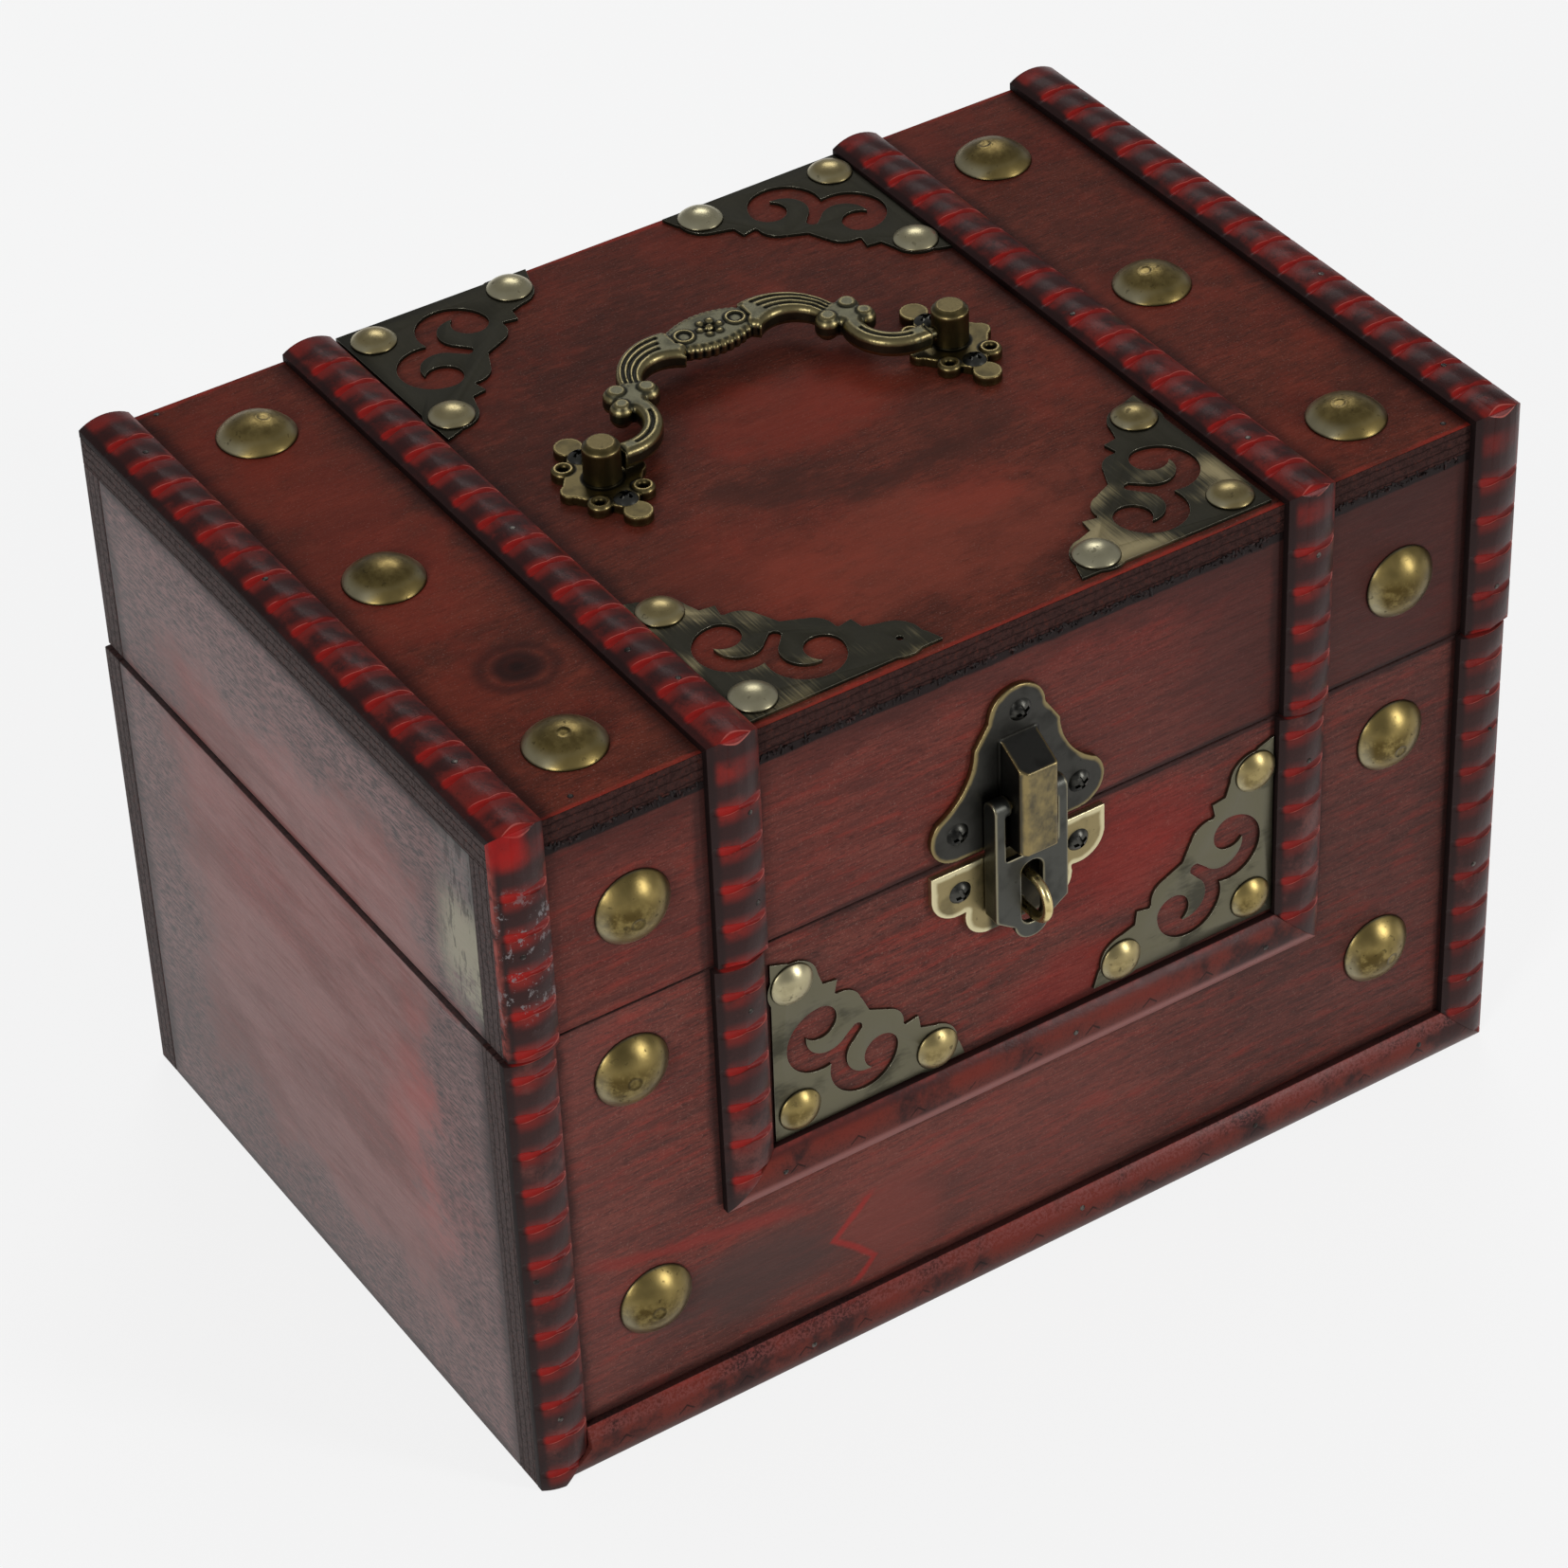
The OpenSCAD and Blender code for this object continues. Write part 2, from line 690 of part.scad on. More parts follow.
module latch_staple() {
    reach = staple_out - staple_wire / 2 - staple_half;
    color(wire_tint) on_front(latch_x, split_z - staple_mid) {
        for (side = [-1, 1]) translate([0, side * staple_half, -staple_root])
            cylinder(reach + staple_root, d = staple_wire);
        translate([0, 0, reach]) rotate([90, 0, 90]) rotate_extrude(angle = 180, $fn = 96)
            translate([staple_half, 0]) circle(d = staple_wire);
    }
}

// Hasp: slotted face between two side walls that end in the eyes of the fork
module hasp_face() {
    difference() {
        union() {
            polygon([[-hasp_width / 2, -web_side], [-tip_neck, -tip_at],
                [tip_neck, -tip_at], [hasp_width / 2, -web_side],
                [hasp_width / 2, -web_top], [-hasp_width / 2, -web_top]]);
            translate([0, -tip_at]) circle(tip_radius);
        }
        for (z = [slot_high, slot_low]) translate([0, -z]) circle(d = slot_width);
        translate([-slot_width / 2, -slot_low]) square([slot_width, slot_low - slot_high]);
    }
}

module latch_hasp() {
    back = latch_thick + play;
    depth = hasp_out - back;
    eye_gap = boss_width / 2 + play;
    color(latch_tint) difference() {
        union() {
            on_front(latch_x, split_z, hasp_out - hasp_thick)
                linear_extrude(hasp_thick) hasp_face();
            for (side = [0, 1]) translate([latch_x, 0, 0]) mirror([side, 0, 0]) {
                translate([hasp_width / 2 - leg_thick, front_y - hasp_out, split_z - web_side])
                    cube([leg_thick, depth, web_side + hinge_up]);
                translate([eye_gap, hasp_axis[1], hasp_axis[2]]) rotate([0, 90, 0])
                    cylinder(hasp_width / 2 - eye_gap, r = leg_radius);
            }
        }
        translate([latch_x - hasp_width / 2 + pin_skin, hasp_axis[1], hasp_axis[2]])
            rotate([0, 90, 0]) cylinder(hasp_width - 2 * pin_skin, d = hasp_pin + 2 * run_fit);
    }
}

module latch_lid_screws() {
    color(screw_tint) for (spot = [top_screw_share, side_screw_share,
        [-side_screw_share[0], side_screw_share[1]]])
        on_front(latch_x + spot[0] * latch_width, split_z + spot[1] * latch_width, latch_thick)
            screw(screw_head, screw_rise, screw_shank, screw_length + latch_thick);
}

module latch_case_screws() {
    color(screw_tint) for (side = [-1, 1])
        on_front(latch_x + side * case_screw_share[0] * latch_width,
            split_z - case_screw_share[1] * latch_width, latch_thick)
            screw(screw_head, screw_rise, screw_shank, screw_length + latch_thick);
}

// Handle post on its leafy rosette; the eye for the bail opens towards +X
module rosette_outline() {
    half = rosette_length / 2;
    tip = rosette_tip_share * half;
    waist = rosette_waist_share * half;
    end = leaf_end_share[1] * half;
    difference() {
        union() {
            polygon([[tip, 0], waist, [0, end], [-waist[0], waist[1]], [-tip, 0], -waist,
                [0, -end], [waist[0], -waist[1]]]);
            circle(d = post_dia + 2 * post_collar);
            for (side = [0, 1]) for (turn = [0, 1]) mirror([side, 0]) mirror([0, turn]) {
                disc(leaf_side_share * half);
                disc(leaf_end_share * half);
                disc(leaf_mid_share * half);
            }
        }
        for (side = [-1, 1]) translate([0, side * handle_screw_at]) circle(d = screw_shank);
        rosette_leaves() circle(rosette_ring_share[2] * half);
    }
}

// Places of the four middle leaves of a rosette
module rosette_leaves() {
    half = rosette_length / 2;
    for (side = [-1, 1]) for (end = [-1, 1])
        translate([side * leaf_mid_share[0] * half, end * leaf_mid_share[1] * half]) children();
}

module handle_post() {
    ring = rosette_ring_share * rosette_length / 2;
    color(handle_tint) difference() {
        union() {
            linear_extrude(rosette_thick) rosette_outline();
            translate([0, 0, rosette_thick]) rosette_leaves()
                rotate_extrude($fn = 32) translate([ring[0], 0]) circle(ring[1], $fn = 16);
            cylinder(post_rise - post_bevel, d = post_dia);
            translate([0, 0, post_rise - post_bevel])
                cylinder(post_bevel, d1 = post_dia, d2 = post_dia - 2 * post_bevel);
        }
        translate([post_dia / 2 - bail_pin_reach - bail_slack - play, 0, bail_axis]) rotate([0, 90, 0])
            cylinder(post_dia, d = bail_pin + 2 * run_fit);
    }
}

module handle_post_left() {
    translate([handle_x - post_span / 2, handle_y, box_height]) handle_post();
}

module handle_post_right() {
    translate([handle_x + post_span / 2, handle_y, box_height]) mirror([1, 0, 0]) handle_post();
}

module handle_screws() {
    color(screw_tint) for (side = [-1, 1]) for (end = [-1, 1])
        translate([handle_x + side * post_span / 2, handle_y + end * handle_screw_at,
            box_height + rosette_thick])
                screw(screw_head, screw_rise, screw_shank, screw_length + rosette_thick);
}

// One half of the bail in its own plane: end scroll, curl, fluted arm, half the crest
module bail_half() {
    scroll = scroll_share * bail_reach;
    band = scroll_half_share * bail_reach;
    curl = curl_ball_share * bail_reach;
    arm = arm_outer_share * bail_reach;
    crest_half = crest_half_share * bail_reach;
    intersection() {
        difference() {
            translate([scroll[0], scroll[1]]) circle(scroll[2] + band);
            translate([scroll[0], scroll[1]]) circle(scroll[2] - band);
        }
        translate([scroll[0], scroll[1]] - 2 * [scroll[2], scroll[2]])
            square([2 * scroll[2], 2 * scroll[2] + band]);
    }
    translate([scroll[0] - merge, -band]) square([bail_reach - scroll[0] + merge, 2 * band]);
    disc(curl);
    disc(outer_ball_share * bail_reach);
    disc(inner_ball_share * bail_reach);
    disc(arm_toe_share * bail_reach);
    difference() {
        disc(arm);
        disc(arm_inner_share * bail_reach);
        square([arm[0] + arm[2], arm_base_share * bail_reach]);
        translate([-arm[2], 0]) square([crest_half - merge + arm[2], arm[1] + arm[2]]);
    }
    polygon([[curl[0], curl[1] - curl[2] / 2],
        [outer_ball_share[0], outer_ball_share[1]] * bail_reach,
        arm_neck_share * bail_reach,
        [inner_ball_share[0], inner_ball_share[1]] * bail_reach,
        [scroll[0] - scroll[2], scroll[1]]]);
}

// One half of the crest, the thinner medallion in the middle of the bail
module crest_half() {
    crest = crest_outer_share * bail_reach;
    intersection() {
        disc(crest);
        disc(crest_inner_share * bail_reach);
        square([crest_half_share * bail_reach, crest[1] + crest[2]]);
    }
}

// Grooves of one half and one face of the bail: three flutes and the scroll's groove
module bail_grooves() {
    inner = arm_inner_share * bail_reach;
    outer = arm_outer_share * bail_reach;
    scroll = scroll_share * bail_reach;
    width = flute_width_share * bail_reach / 2;
    for (k = flute_shares) {
        ring = inner + k * (outer - inner);
        translate([ring[0], ring[1], bail_thick / 2]) rotate([0, 0, flute_start])
            rotate_extrude(angle = flute_sweep) translate([ring[2], 0]) circle(width, $fn = 16);
    }
    translate([scroll[0], scroll[1], bail_thick / 2]) rotate([0, 0, scroll_start])
        rotate_extrude(angle = scroll_sweep) translate([scroll[2], 0]) circle(width, $fn = 16);
}

// A tapered button on a ball of the bail's outline
module bail_button(spot) {
    translate([spot[0], spot[1], bail_thick / 2 - merge])
        cylinder(raised_share * bail_reach + merge, spot[2] * button_foot,
            spot[2] * button_taper);
}

// Raised work of one half and one face: buttons on the balls, leaf and flower on the crest
module bail_raised() {
    lift = raised_share * bail_reach;
    middle = [0, (crest_outer_share[1] + crest_outer_share[2] + crest_inner_share[1]
        - crest_inner_share[2]) / 2] * bail_reach;
    bail_button(curl_ball_share * bail_reach);
    bail_button(outer_ball_share * bail_reach);
    bail_button(inner_ball_share * bail_reach);
    translate([middle[0], middle[1], bail_thick * crest_thick_share / 2 - merge]) {
        cylinder(2 * lift + merge, flower_share[2] * bail_reach,
            flower_share[2] * button_taper * bail_reach);
        for (i = [0:1:flower_petals - 1]) rotate([0, 0, i * 360 / flower_petals])
            translate([flower_share[0] * bail_reach, 0])
                cylinder(lift + merge, flower_share[1] * bail_reach,
                    flower_share[1] * button_taper * bail_reach);
        translate([leaf_vein_share[0] * bail_reach, 0, merge])
            rotate_extrude($fn = 48) translate([leaf_vein_share[1] * bail_reach, 0])
                circle(lift, $fn = 16);
    }
}

// Beads along the inner and the outer edge of one half of the crest
module crest_beads() {
    bead = crest_bead_share * bail_reach;
    for (k = [0, 1]) {
        ring = (k == 0 ? crest_inner_share : crest_outer_share) * bail_reach;
        out = 2 * k - 1;
        for (i = [0:1:crest_bead_counts[k]])
            translate([ring[0], ring[1]]) rotate([0, 0, -out * i * crest_bead_steps[k]])
                translate([0, out * (ring[2] - bead / 2)]) circle(bead);
    }
}

module handle_bail() {
    color(handle_tint) translate([handle_x - bail_slack, handle_y, axis_z])
        rotate([90 - bail_lean, 0, 0]) {
        difference() {
            translate([0, 0, -bail_thick / 2]) linear_extrude(bail_thick)
                for (side = [0, 1]) mirror([side, 0]) bail_half();
            for (side = [0, 1]) for (face = [0, 1])
                mirror([side, 0, 0]) mirror([0, 0, face]) bail_grooves();
        }
        translate([0, 0, -bail_thick * crest_thick_share / 2])
            linear_extrude(bail_thick * crest_thick_share)
                for (side = [0, 1]) mirror([side, 0]) {
                    crest_half();
                    crest_beads();
                }
        for (side = [0, 1]) for (face = [0, 1])
            mirror([side, 0, 0]) mirror([0, 0, face]) bail_raised();
        for (side = [-1, 1]) translate([side * (bail_reach - merge), 0, 0])
            rotate([0, side * 90, 0])
                cylinder(bail_end_play + bail_pin_reach + merge, d = bail_pin);
    }
}

// Hinge leaf on the back face, from the axis in the direction up = 1 or down = -1
module hinge_leaf(x, up) {
    outer = up < 0;
    spans = outer ? [[-hinge_length / 2, knuckle_side - play / 2],
        [hinge_length / 2 - knuckle_side + play / 2, knuckle_side - play / 2]]
        : [[-knuckle_side / 2 + play / 2, knuckle_side - play]];
    color(tack_tint) translate([x, 0, split_z]) mirror([0, 0, up < 0 ? 1 : 0])
        difference() {
            union() {
                translate([-hinge_length / 2, half_d, leaf_start])
                    cube([hinge_length, leaf_thick, leaf_reach - leaf_start]);
                translate([-hinge_length / 2, half_d, leaf_start])
                    cube([hinge_length, hinge_axis_y - half_d + heel_out, heel_thick]);
                for (span = spans) translate([span[0], 0, 0]) {
                    translate([0, hinge_axis_y, 0]) rotate([0, 90, 0])
                        cylinder(span[1], d = knuckle_dia);
                    translate([0, hinge_axis_y - knuckle_dia / 2, 0])
                        cube([span[1], knuckle_dia / 2, leaf_start + merge]);
                }
            }
            translate([-hinge_length, hinge_axis_y, 0]) rotate([0, 90, 0])
                cylinder(2 * hinge_length, d = hinge_pin + (outer ? 0 : 2 * run_fit));
            for (side = [-1, 1]) translate([side * leaf_screw[0], half_d - merge, leaf_screw[1]])
                rotate([-90, 0, 0]) cylinder(leaf_thick + 2 * merge, d = leaf_shank);
        }
}

module hinge_case_leaf_left() { hinge_leaf(-hinge_at, -1); }
module hinge_case_leaf_right() { hinge_leaf(hinge_at, -1); }
module hinge_lid_leaf_left() { hinge_leaf(-hinge_at, 1); }
module hinge_lid_leaf_right() { hinge_leaf(hinge_at, 1); }

module hinge_pins() {
    color(tack_tint) for (side = [-1, 1])
        translate([side * hinge_at - hinge_length / 2, hinge_axis_y, split_z])
            rotate([0, 90, 0]) cylinder(hinge_length, d = hinge_pin);
}

module leaf_screws(up) {
    color(tack_tint) for (side = [-1, 1]) for (end = [-1, 1])
        on_back(side * hinge_at + end * leaf_screw[0], split_z + up * leaf_screw[1], leaf_thick)
            screw(leaf_head, leaf_head_rise, leaf_shank, screw_length + leaf_thick);
}

module hinge_case_screws() { leaf_screws(-1); }
module hinge_lid_screws() { leaf_screws(1); }
module top_strip_far_left() { top_strip(-half_w); }
module top_strip_left() { top_strip(-inner_strip_end); }
module top_strip_right() { top_strip(inner_strip_at); }
module top_strip_far_right() { top_strip(outer_strip_at); }
module lid_strip_far_left() { lid_strip(-half_w, lid_start_shares[0]); }
module lid_strip_left() { lid_strip(-inner_strip_end, lid_start_shares[1]); }
module lid_strip_right() { lid_strip(inner_strip_at, lid_start_shares[2]); }
module lid_strip_far_right() { lid_strip(outer_strip_at, lid_start_shares[3]); }

case_front_board();
case_back_board();
case_left_board();
case_right_board();
case_bottom_board();
case_strip_left();
case_strip_right();
frame_strip_left();
frame_strip_right();
frame_bar();
foot_strip();
case_plate_left();
case_plate_right();
case_big_tacks();
case_small_tacks();
latch_case_plate();
latch_staple();
latch_case_screws();
hinge_case_leaf_left();
hinge_case_leaf_right();
hinge_pins();
hinge_case_screws();
lid_top_board();
lid_front_board();
lid_back_board();
lid_left_board();
lid_right_board();
top_strip_far_left();
top_strip_left();
top_strip_right();
top_strip_far_right();
lid_strip_far_left();
lid_strip_left();
lid_strip_right();
lid_strip_far_right();
top_plate_front_left();
top_plate_front_right();
top_plate_back_left();
top_plate_back_right();
lid_top_tacks();
lid_front_tacks();
lid_small_tacks();
latch_lid_plate();
latch_hasp_pin();
latch_lid_screws();
handle_post_left();
handle_post_right();
handle_screws();
hinge_lid_leaf_left();
hinge_lid_leaf_right();
hinge_lid_screws();
handle_bail();
latch_hasp();
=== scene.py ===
import json
import math

import bmesh
import bpy
import numpy as np
from mathutils import Matrix, Vector
from mathutils.bvhtree import BVHTree
from mathutils.kdtree import KDTree

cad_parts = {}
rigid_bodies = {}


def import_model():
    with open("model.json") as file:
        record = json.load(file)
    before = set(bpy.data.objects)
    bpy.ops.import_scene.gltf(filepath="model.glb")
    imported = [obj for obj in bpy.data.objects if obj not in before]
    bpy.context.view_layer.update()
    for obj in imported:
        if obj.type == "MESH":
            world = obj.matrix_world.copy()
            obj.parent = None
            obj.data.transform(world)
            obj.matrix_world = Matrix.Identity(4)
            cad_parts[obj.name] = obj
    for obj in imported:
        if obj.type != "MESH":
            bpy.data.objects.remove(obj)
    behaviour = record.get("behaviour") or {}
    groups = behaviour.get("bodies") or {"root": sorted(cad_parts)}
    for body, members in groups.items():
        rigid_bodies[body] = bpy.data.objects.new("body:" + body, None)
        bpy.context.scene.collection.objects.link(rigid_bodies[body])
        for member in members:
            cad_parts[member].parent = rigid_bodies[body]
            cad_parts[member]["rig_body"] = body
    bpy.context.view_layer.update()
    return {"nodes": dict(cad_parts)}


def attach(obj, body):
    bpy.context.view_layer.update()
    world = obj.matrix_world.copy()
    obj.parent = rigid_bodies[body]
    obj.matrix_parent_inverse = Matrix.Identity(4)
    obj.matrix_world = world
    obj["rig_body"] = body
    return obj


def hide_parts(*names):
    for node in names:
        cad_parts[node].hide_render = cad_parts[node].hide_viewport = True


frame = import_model()

# ---------------------------------------------------------------------------
# The studio: a pale floor, an even pale room, two soft boxes and the camera.
# The camera stands where the photographer stood, left of the front and above.
# ---------------------------------------------------------------------------
scene = bpy.context.scene
scene.view_settings.view_transform = "Standard"


def placed(name, data):
    """A new object in the scene that holds the data."""
    made = bpy.data.objects.new(name, data)
    scene.collection.objects.link(made)
    return made


photo_width = 1655
film_width = 36
focal_pixels = 5591.3
middle_pixel = (927.25, 768.02)
camera_place = Vector((-0.4248, -0.6849, 0.7037))
camera_turn = Vector((2.1446167, -0.6678635, 0.2947460))

camera_data = bpy.data.cameras.new("photo_camera")
camera_data.sensor_width = film_width
camera_data.lens = focal_pixels / photo_width * film_width
camera_data.shift_x = (photo_width / 2 - middle_pixel[0]) / photo_width
camera_data.shift_y = (middle_pixel[1] - photo_width / 2) / photo_width
camera_data.clip_start = 0.01
camera = placed("photo_camera", camera_data)
turn = Matrix.Rotation(camera_turn.length, 3, camera_turn.normalized())
camera.matrix_world = Matrix.Translation(camera_place) @ (
    turn.transposed() @ Matrix.Diagonal((1, -1, -1))
).to_4x4()
scene.camera = camera


class Wire:
    """One socket in a tree of nodes; sums and products of wires add Math nodes."""

    def __init__(self, tree, socket=None):
        self.tree, self.socket = tree, socket

    def node(self, kind, settings=None, sockets=None, out=0):
        """Adds a node: its settings first, then what its sockets hold or take."""
        made = self.tree.nodes.new(kind)
        for name, value in (settings or {}).items():
            if name == "stops":
                stops = made.color_ramp.elements
                stops.remove(stops[1])
                stops[0].position, stops[0].color = value[0]
                for place, colour in value[1:]:
                    stops.new(place).color = colour
            else:
                setattr(made, name, value)
        for name, value in (sockets or {}).items():
            if isinstance(value, Wire):
                self.tree.links.new(value.socket, made.inputs[name])
            else:
                made.inputs[name].default_value = value
        return Wire(self.tree, made.outputs[out])

    def other(self, name):
        """Another output of the node that this wire comes from."""
        return Wire(self.tree, self.socket.node.outputs[name])

    def math(self, operation, *values):
        return self.node("ShaderNodeMath", {"operation": operation}, dict(enumerate(values)))

    def __add__(self, other):
        return self.math("ADD", self, other)

    def __sub__(self, other):
        return self.math("SUBTRACT", self, other)

    def __rsub__(self, other):
        return self.math("SUBTRACT", other, self)

    def __mul__(self, other):
        return self.math("MULTIPLY", self, other)

    def __truediv__(self, other):
        return self.math("DIVIDE", self, other)

    def __pow__(self, other):
        return self.math("POWER", self, other)

    def __abs__(self):
        return self.math("ABSOLUTE", self)

    __radd__ = __add__
    __rmul__ = __mul__

    def least(self, other):
        return self.math("MINIMUM", self, other)

    def most(self, other):
        return self.math("MAXIMUM", self, other)

    def step(self, low, high):
        """0 below low and 1 above high, with a soft change between them."""
        return self.node("ShaderNodeMapRange", {"interpolation_type": "SMOOTHSTEP"},
                         {"Value": self, "From Min": low, "From Max": high})

    def axes(self):
        split = self.tree.nodes.new("ShaderNodeSeparateXYZ")
        self.tree.links.new(self.socket, split.inputs[0])
        return [Wire(self.tree, output) for output in split.outputs]

    def noise(self, scale, detail=3.0, rough=0.55, shift=(0, 0, 0)):
        """Grain of so many waves a metre, along each axis or along all, from 0 to 1."""
        scale = (scale,) * 3 if isinstance(scale, int) else scale
        place = self.vector("MULTIPLY_ADD", {0: self, 1: scale, 2: shift})
        return self.node("ShaderNodeTexNoise", {"noise_dimensions": "3D", "noise_type": "FBM"},
                         {"Vector": place, "Scale": 1.0, "Detail": detail, "Roughness": rough})

    def over(self, other, factor):
        """This colour with another one laid over it."""
        return self.node("ShaderNodeMix", {"data_type": "RGBA"},
                         {0: factor, 6: self, 7: other}, out=2)

    def coats(self, *layers):
        """This colour with others laid over it in turn, each with its factor."""
        colour = self
        for other, factor in layers:
            colour = colour.over(other, factor)
        return colour

    def kept(self, name, out="Fac"):
        """What the mesh keeps under a name at each vertex."""
        return self.node("ShaderNodeAttribute", {"attribute_name": name}, out=out)

    def xyz(self, x, y, z):
        return self.node("ShaderNodeCombineXYZ", None, {"X": x, "Y": y, "Z": z})

    def vector(self, operation, sockets, out=0):
        return self.node("ShaderNodeVectorMath", {"operation": operation}, sockets, out)

    def geo(self, kind, sockets=None, settings=None, out=0):
        """A node that makes or moves geometry."""
        return self.node("GeometryNode" + kind, settings, sockets, out)


def srgb(red, green, blue):
    """A colour as a paint chart gives it, 0 to 255, in the light's own scale."""
    parts = [c / 255 for c in (red, green, blue)]
    return tuple(c / 12.92 if c <= 0.04045 else ((c + 0.055) / 1.055) ** 2.4 for c in parts) + (1,)


def new_material(name):
    """An empty material, its Object place and its Object normal as wires."""
    material = bpy.data.materials.new(name)
    material.use_nodes = True
    material.node_tree.nodes.clear()
    wire = Wire(material.node_tree)
    return material, wire.node("ShaderNodeTexCoord", out="Object"), \
        wire.node("ShaderNodeTexCoord", out="Normal")


def colour_of(wire, colour):
    """One plain colour, as a wire."""
    return wire.node("ShaderNodeMix", {"data_type": "RGBA"}, {0: 0.0, 6: colour, 7: colour}, out=2)


def end_material(material, surface):
    """Joins a shader to the material's output."""
    end = material.node_tree.nodes.new("ShaderNodeOutputMaterial")
    material.node_tree.links.new(surface.socket, end.inputs["Surface"])
    return material


def close_material(material, height=None, depth=0.0002, **sockets):
    """Ends a material in its surface: colour, roughness and the rest, and its relief."""
    wire = Wire(material.node_tree)
    if height is not None:
        sockets["Normal"] = wire.node("ShaderNodeBump", None, {
            "Height": height, "Distance": depth, "Strength": 1.0})
    surface = wire.node("ShaderNodeBsdfPrincipled", None,
                        {name.replace("_", " "): value for name, value in sockets.items()})
    return end_material(material, surface)


# The floor is white paper: what the camera and the metal see of it is white,
# and the light that falls on it still leaves the box its soft shadow.
paper, here, facing = new_material("white_paper")
ray = here.node("ShaderNodeLightPath", out="Is Camera Ray")
seen = ray.most(ray.other("Is Glossy Ray")).most(ray.other("Is Transmission Ray"))
fibres = here.noise(900, 2)
matt = here.node("ShaderNodeBsdfDiffuse", None, {
    "Color": colour_of(here, (0.86, 0.86, 0.86, 1)).over((0.82, 0.82, 0.82, 1), fibres)})
glow = here.node("ShaderNodeEmission", None, {"Color": (1, 1, 1, 1), "Strength": 1.0})
shown_white = 0.82        # how much of what the camera sees is the paper's own glow
end_material(paper, here.node("ShaderNodeMixShader", None,
                              {0: seen * shown_white, 1: matt, 2: glow}))
reach = 6
floor_mesh = bpy.data.meshes.new("paper_floor")
floor_mesh.from_pydata([(x * reach, y * reach, 0) for x, y in ((-1, -1), (1, -1), (1, 1), (-1, 1))],
                       [], [(0, 1, 2, 3)])
floor_mesh.materials.append(paper)
placed("paper_floor", floor_mesh)

room = bpy.data.worlds.new("pale_room")
room.use_nodes = True
sky = room.node_tree.nodes["Background"].inputs
sky["Color"].default_value = (0.93, 0.95, 1, 1)
sky["Strength"].default_value = 0.3
scene.world = room

box_middle = Vector((0, 0, 0.08))


def soft_box(name, place, size, power):
    """A lamp behind cloth, so wide and so high, that looks at the box."""
    lamp = bpy.data.lights.new(name, "AREA")
    lamp.shape, lamp.size, lamp.size_y, lamp.energy = "RECTANGLE", size[0], size[1], power
    holder = placed(name, lamp)
    holder.location = place
    holder.rotation_euler = (box_middle - Vector(place)).to_track_quat("-Z", "Y").to_euler()


soft_box("back_box", (0.75, 1.15, 1.35), (0.8, 0.6), 6)
soft_box("right_front_box", (1.05, -1.55, 0.75), (0.32, 0.8), 13)
soft_box("left_front_box", (-1.75, -1.0, 0.95), (0.45, 0.7), 16)


# ---------------------------------------------------------------------------
# The boards: 6 mm plywood, glued at the corners and stained red-brown by hand.
# The top lies on the lid's four sides, and its dark ply edge shows in front.
# ---------------------------------------------------------------------------
board_edge = 0.00024      # how far the edges are rubbed down
half_depth = 0.0735       # half the depth of the box
front_face = -half_depth
side_half = 0.0675        # half the length of a side board, between front and back
split_height = 0.1034     # where the lid begins
lid_under = 0.145         # the underside of the lid's top board
box_top = 0.151
lid_shift = 0.0009        # how far the lid sits to the right
strip_half = 0.0052       # half the width of a trim strip
inner_strip = 0.062       # the middle of the inner strips, left and right
outer_edge = 0.0996       # where the outer strips begin
foot_top = 0.0104         # the top of the foot strip
bar_middle = 0.0514       # the middle of the frame's bar

stain_mid = srgb(92, 40, 31)
stain_light = srgb(118, 44, 34)
stain_red = srgb(140, 30, 24)
stain_dark = srgb(54, 27, 23)
burnt = srgb(24, 15, 14)
worn_red = srgb(175, 48, 36)
# the grey of the sides' bloom, partly a painted sheen
sheen_and_bloom_grey = srgb(160, 124, 120)
dusty = srgb(150, 122, 112)


ply_thick = 0.0019        # one layer of the plywood
weld = 0.000002           # vertices nearer than this are one


def merged_copy(node, name):
    """A CAD node's shape as one skin, for a piece that takes its place."""
    mesh = frame["nodes"][node].data.copy()
    mesh.name = name
    skin = bmesh.new()
    skin.from_mesh(mesh)
    bmesh.ops.remove_doubles(skin, verts=skin.verts, dist=weld)
    bmesh.ops.dissolve_limit(skin, angle_limit=math.radians(0.5), verts=skin.verts,
                             edges=skin.edges)
    skin.to_mesh(mesh)
    skin.free()
    if "custom_normal" in mesh.attributes:
        mesh.attributes.remove(mesh.attributes["custom_normal"])
    mesh.materials.clear()
    return placed(name, mesh)


def baked(piece):
    """What the piece's modifiers make of it, as a plain mesh."""
    return bpy.data.meshes.new_from_object(
        piece.evaluated_get(bpy.context.evaluated_depsgraph_get()))


def rounded(piece, width, segments=2, angle=30, rim=0):
    """The piece's sharp edges rounded; rim is the slot of the rounded faces."""
    bevel = piece.modifiers.new("edges", "BEVEL")
    bevel.width, bevel.segments = width, segments
    bevel.limit_method, bevel.angle_limit = "ANGLE", math.radians(angle)
    if rim:
        bevel.material = rim
    shaped = baked(piece)
    piece.modifiers.clear()
    piece.data = shaped
    for face in shaped.polygons:
        face.use_smooth = True
    return piece


def stands_for(piece, node, slot, *materials):
    """The piece takes the node's place, rides on its body and has its finish."""
    for material in materials:
        piece.data.materials.append(material)
    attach(piece, frame["nodes"][node]["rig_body"])
    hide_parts(node)
    return piece


